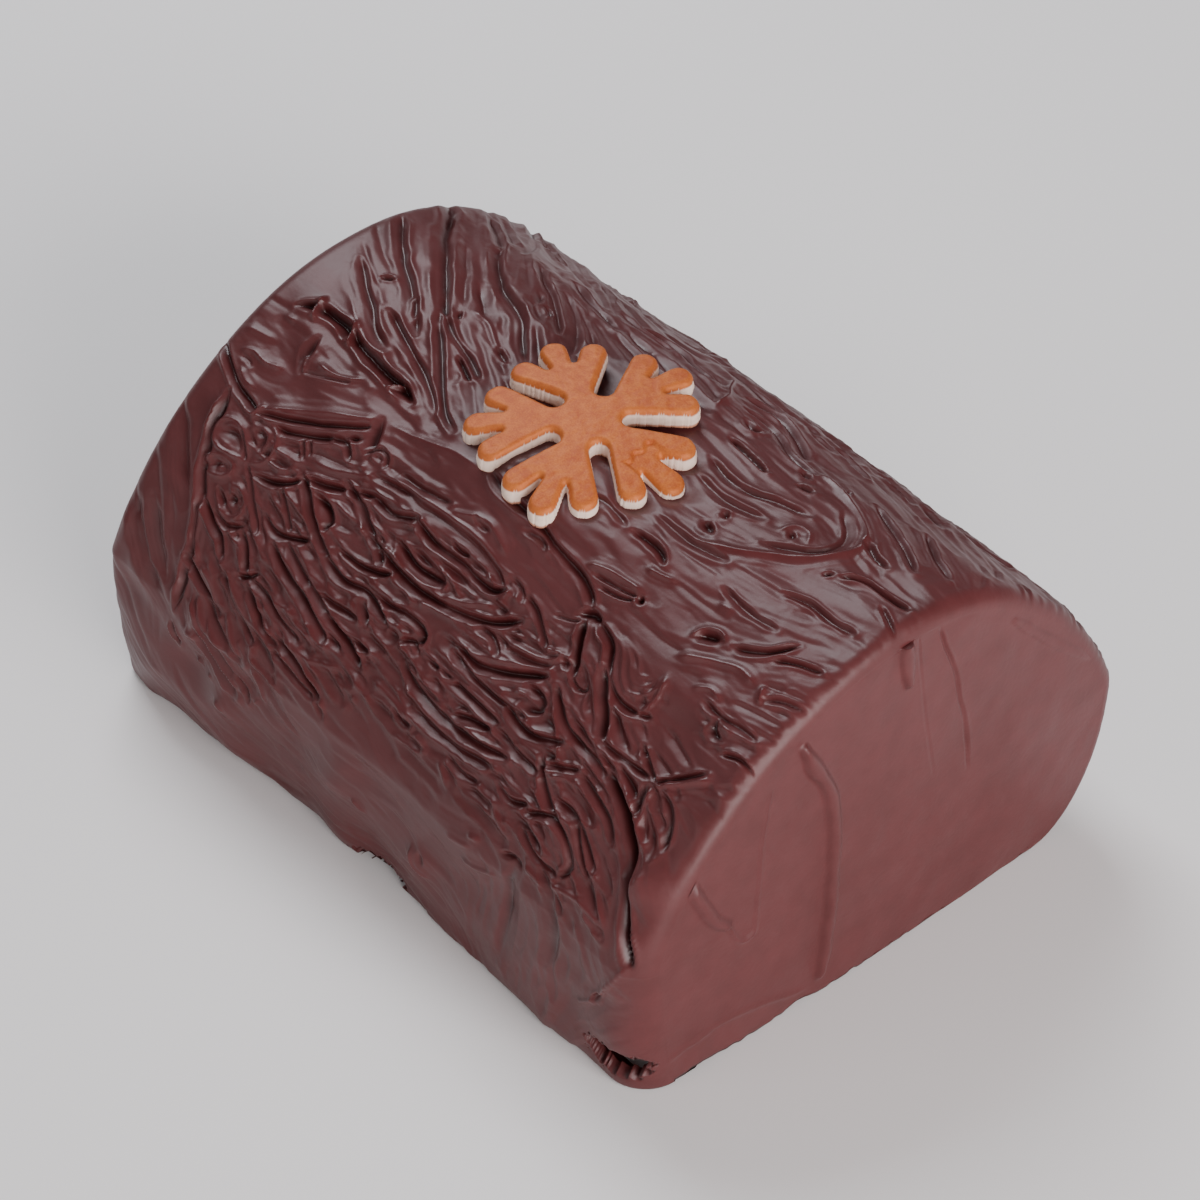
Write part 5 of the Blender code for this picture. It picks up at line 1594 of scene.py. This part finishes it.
@dataclass(frozen=True)
class CrumbFinish:
    """Open chocolate crumb."""

    dark: Colour = (0.020, 0.008, 0.005)
    light: Colour = (0.110, 0.045, 0.030)

    def build(self) -> bpy.types.Material:
        """Returns the material."""
        bench = Bench("sponge_crumb")
        pores = bench.cells(520.0)
        grain = bench.noise(1400.0, 4.0, 0.7)
        clouds = bench.noise(160.0, 3.0)
        tone = (pores * 1.3 + grain * 0.5 - 0.2).rise(0.15, 0.85)
        colour = bench.mix(tone * (0.5 + 0.5 * clouds), self.dark, self.light)
        normal = bench.bump(pores, 1.2)
        normal = bench.bump(grain, 0.35, normal)
        return bench.close(Base_Color=colour, Roughness=0.95, Normal=normal)


@dataclass(frozen=True)
class GildedFinish:
    """White fondant brushed with copper-gold dust: full on the top, thin and streaky down the sides; the top is painted
    brighter near its edges as a highlight.
    """

    gold: Colour = (0.34, 0.062, 0.012)
    # Bright gold for the dust's random flecks, and for the painted highlight along the top's edges.
    bright_gold_and_edge_highlight: Colour = (0.52, 0.15, 0.030)
    fondant: Colour = (0.78, 0.60, 0.50)

    def build(self) -> bpy.types.Material:
        """Returns the material."""
        bench = Bench("gilded_fondant")
        side, depth, edge = bench.mark("side"), bench.mark("depth"), bench.mark("edge")
        grains = bench.noise(2600.0, 3.0, 0.7)
        patches = bench.noise(330.0, 4.0, 0.6)
        streaks = bench.noise(700.0, 3.0, 0.6, bench.stretch((1.0, 1.0, 0.3)))
        gold = bench.mix((grains * 0.7 + patches * 0.5).rise(0.4, 0.85), self.gold, self.bright_gold_and_edge_highlight)
        # Painted highlight: the gilded top is mixed towards the bright gold within about 1.4 mm of its edge.
        rim = (1.0 - edge * 0.7).clamp() * (1.0 - side)
        gold = bench.mix(rim * 0.5, gold, self.bright_gold_and_edge_highlight)
        bare = side * (depth + 0.55 * patches + 0.25 * streaks + 0.02).rise(0.28, 0.52)
        fringe = (depth + 0.2 * patches).rise(0.82, 0.98)
        bare = bare * (1.0 - 0.7 * fringe)
        colour = bench.mix(bare, gold, self.fondant)
        rough = 0.55 + 0.2 * bare + 0.15 * (grains - 0.5)
        normal = bench.bump(patches, 0.12)
        normal = bench.bump(grains, 0.05, normal)
        return bench.close(Base_Color=colour, Roughness=rough, Metallic=(1.0 - bare) * 0.20, Normal=normal,
                           Specular_IOR_Level=0.3)


def dress(piece: bpy.types.Object, material: bpy.types.Material) -> None:
    """Gives a piece its only material."""
    piece.data.materials.clear()
    piece.data.materials.append(material)


@dataclass
class Studio:
    """Plain pale floor, soft lights and the camera, at the viewing angle of the photograph."""

    lens_pixels: float = 4280.98
    frame_pixels: float = 1200.0
    sensor: float = 36.0
    azimuth: float = 49.098
    elevation: float = 42.675
    roll: float = 0.435
    offset: tuple[float, float, float] = (6.6209, -26.797, -944.93)

    def floor(self) -> None:
        """Lays the floor."""
        mesh = bmesh.new()
        bmesh.ops.create_grid(mesh, x_segments=1, y_segments=1, size=4.0)
        data = bpy.data.meshes.new("floor")
        mesh.to_mesh(data)
        mesh.free()
        plane = bpy.data.objects.new("floor", data)
        bpy.context.scene.collection.objects.link(plane)
        plane.location.z = -0.0002
        bench = Bench("floor_paper")
        dress(plane, bench.close(Base_Color=(0.84, 0.82, 0.81, 1.0), Roughness=0.9))

    def light(self, name: str, place: Colour, size: float, watts: float, tint: Colour) -> None:
        """Hangs a soft square light that faces the cake.

        Args:
            name: which light.
            place: where it hangs, in metres.
            size: length of its side.
            watts: its power.
            tint: its colour.
        """
        lamp = bpy.data.lights.new(name, "AREA")
        lamp.shape, lamp.size, lamp.energy, lamp.color = "SQUARE", size, watts, tint
        made = bpy.data.objects.new(name, lamp)
        made.location = place
        made.rotation_euler = (Vector((0.0, 0.0, 0.04)) - Vector(place)).to_track_quat("-Z", "Y").to_euler()
        bpy.context.scene.collection.objects.link(made)

    def lights(self) -> None:
        """Hangs the lights and sets an even, dim surround."""
        self.light("window", (-0.75, 0.25, 1.0), 0.7, 14.0, (0.93, 0.95, 1.0))
        self.light("fill", (1.1, -0.15, 0.40), 0.9, 24.0, (1.0, 0.95, 0.95))
        self.light("low_fill", (-0.2, -1.2, 0.5), 0.9, 3.0, (1.0, 0.96, 0.97))
        world = bpy.data.worlds.new("surround")
        world.use_nodes = True
        backdrop = world.node_tree.nodes["Background"]
        backdrop.inputs["Color"].default_value = (0.80, 0.80, 0.84, 1.0)
        backdrop.inputs["Strength"].default_value = 0.22
        bpy.context.scene.world = world

    def camera(self) -> None:
        """Sets the camera where the photograph was taken from."""
        a, e, r = (math.radians(angle) for angle in (self.azimuth, self.elevation, self.roll))
        back = Vector((math.sin(a) * math.cos(e), -math.cos(a) * math.cos(e), math.sin(e)))
        level = Vector((math.cos(a), math.sin(a), 0.0))
        up = back.cross(level)
        right, above = math.cos(r) * level + math.sin(r) * up, math.cos(r) * up - math.sin(r) * level
        x, y, z = self.offset
        place = -(right * x + above * y + back * z) + Vector((MIDDLE_X, CROWN_Y, 0.0))
        turn = Matrix((right, above, back)).transposed().to_4x4()
        lens = bpy.data.cameras.new("photo_view")
        lens.sensor_width = self.sensor
        lens.lens = self.sensor * self.lens_pixels / self.frame_pixels
        made = bpy.data.objects.new("photo_view", lens)
        made.matrix_world = Matrix.Translation(place * MM) @ turn
        bpy.context.scene.collection.objects.link(made)
        bpy.context.scene.camera = made

    def build(self) -> None:
        """Sets everything up."""
        self.floor()
        self.lights()
        self.camera()


def plain(box: Any) -> list[list[float]]:
    """Turns a box into plain lists of numbers."""
    return [[float(value) for value in corner] for corner in box]


def main() -> None:
    """Builds the cake, dresses it and sets the studio up."""
    logging.basicConfig(level=logging.INFO, format="%(message)s")
    chocolate = ChocolateFinish().build()
    shell = CoatShell()
    sheets = shell.build()
    sheets.append(EndFace("coat_front_end", True, FRONT_STROKES, 0.3).build(shell.front_ring))
    sheets.append(EndFace("coat_back_end", False, BACK_STROKES, 0.5).build(shell.back_ring))
    for sheet in sheets:
        for breakage in BREAKAGES:
            breakage.cut(sheet)
        dress(sheet, chocolate)
        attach(sheet, "root")
        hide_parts("coating")
        log.info("%s: %d faces", sheet.name, len(sheet.data.polygons))
    flake = Snowflake().build()
    dress(flake, GildedFinish().build())
    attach(flake, "root")
    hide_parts("snowflake")
    log.info("%s: %d faces", flake.name, len(flake.data.polygons))
    dress(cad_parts["sponge"], CrumbFinish().build())
    Studio().build()


if __name__ == "__main__":
    main()
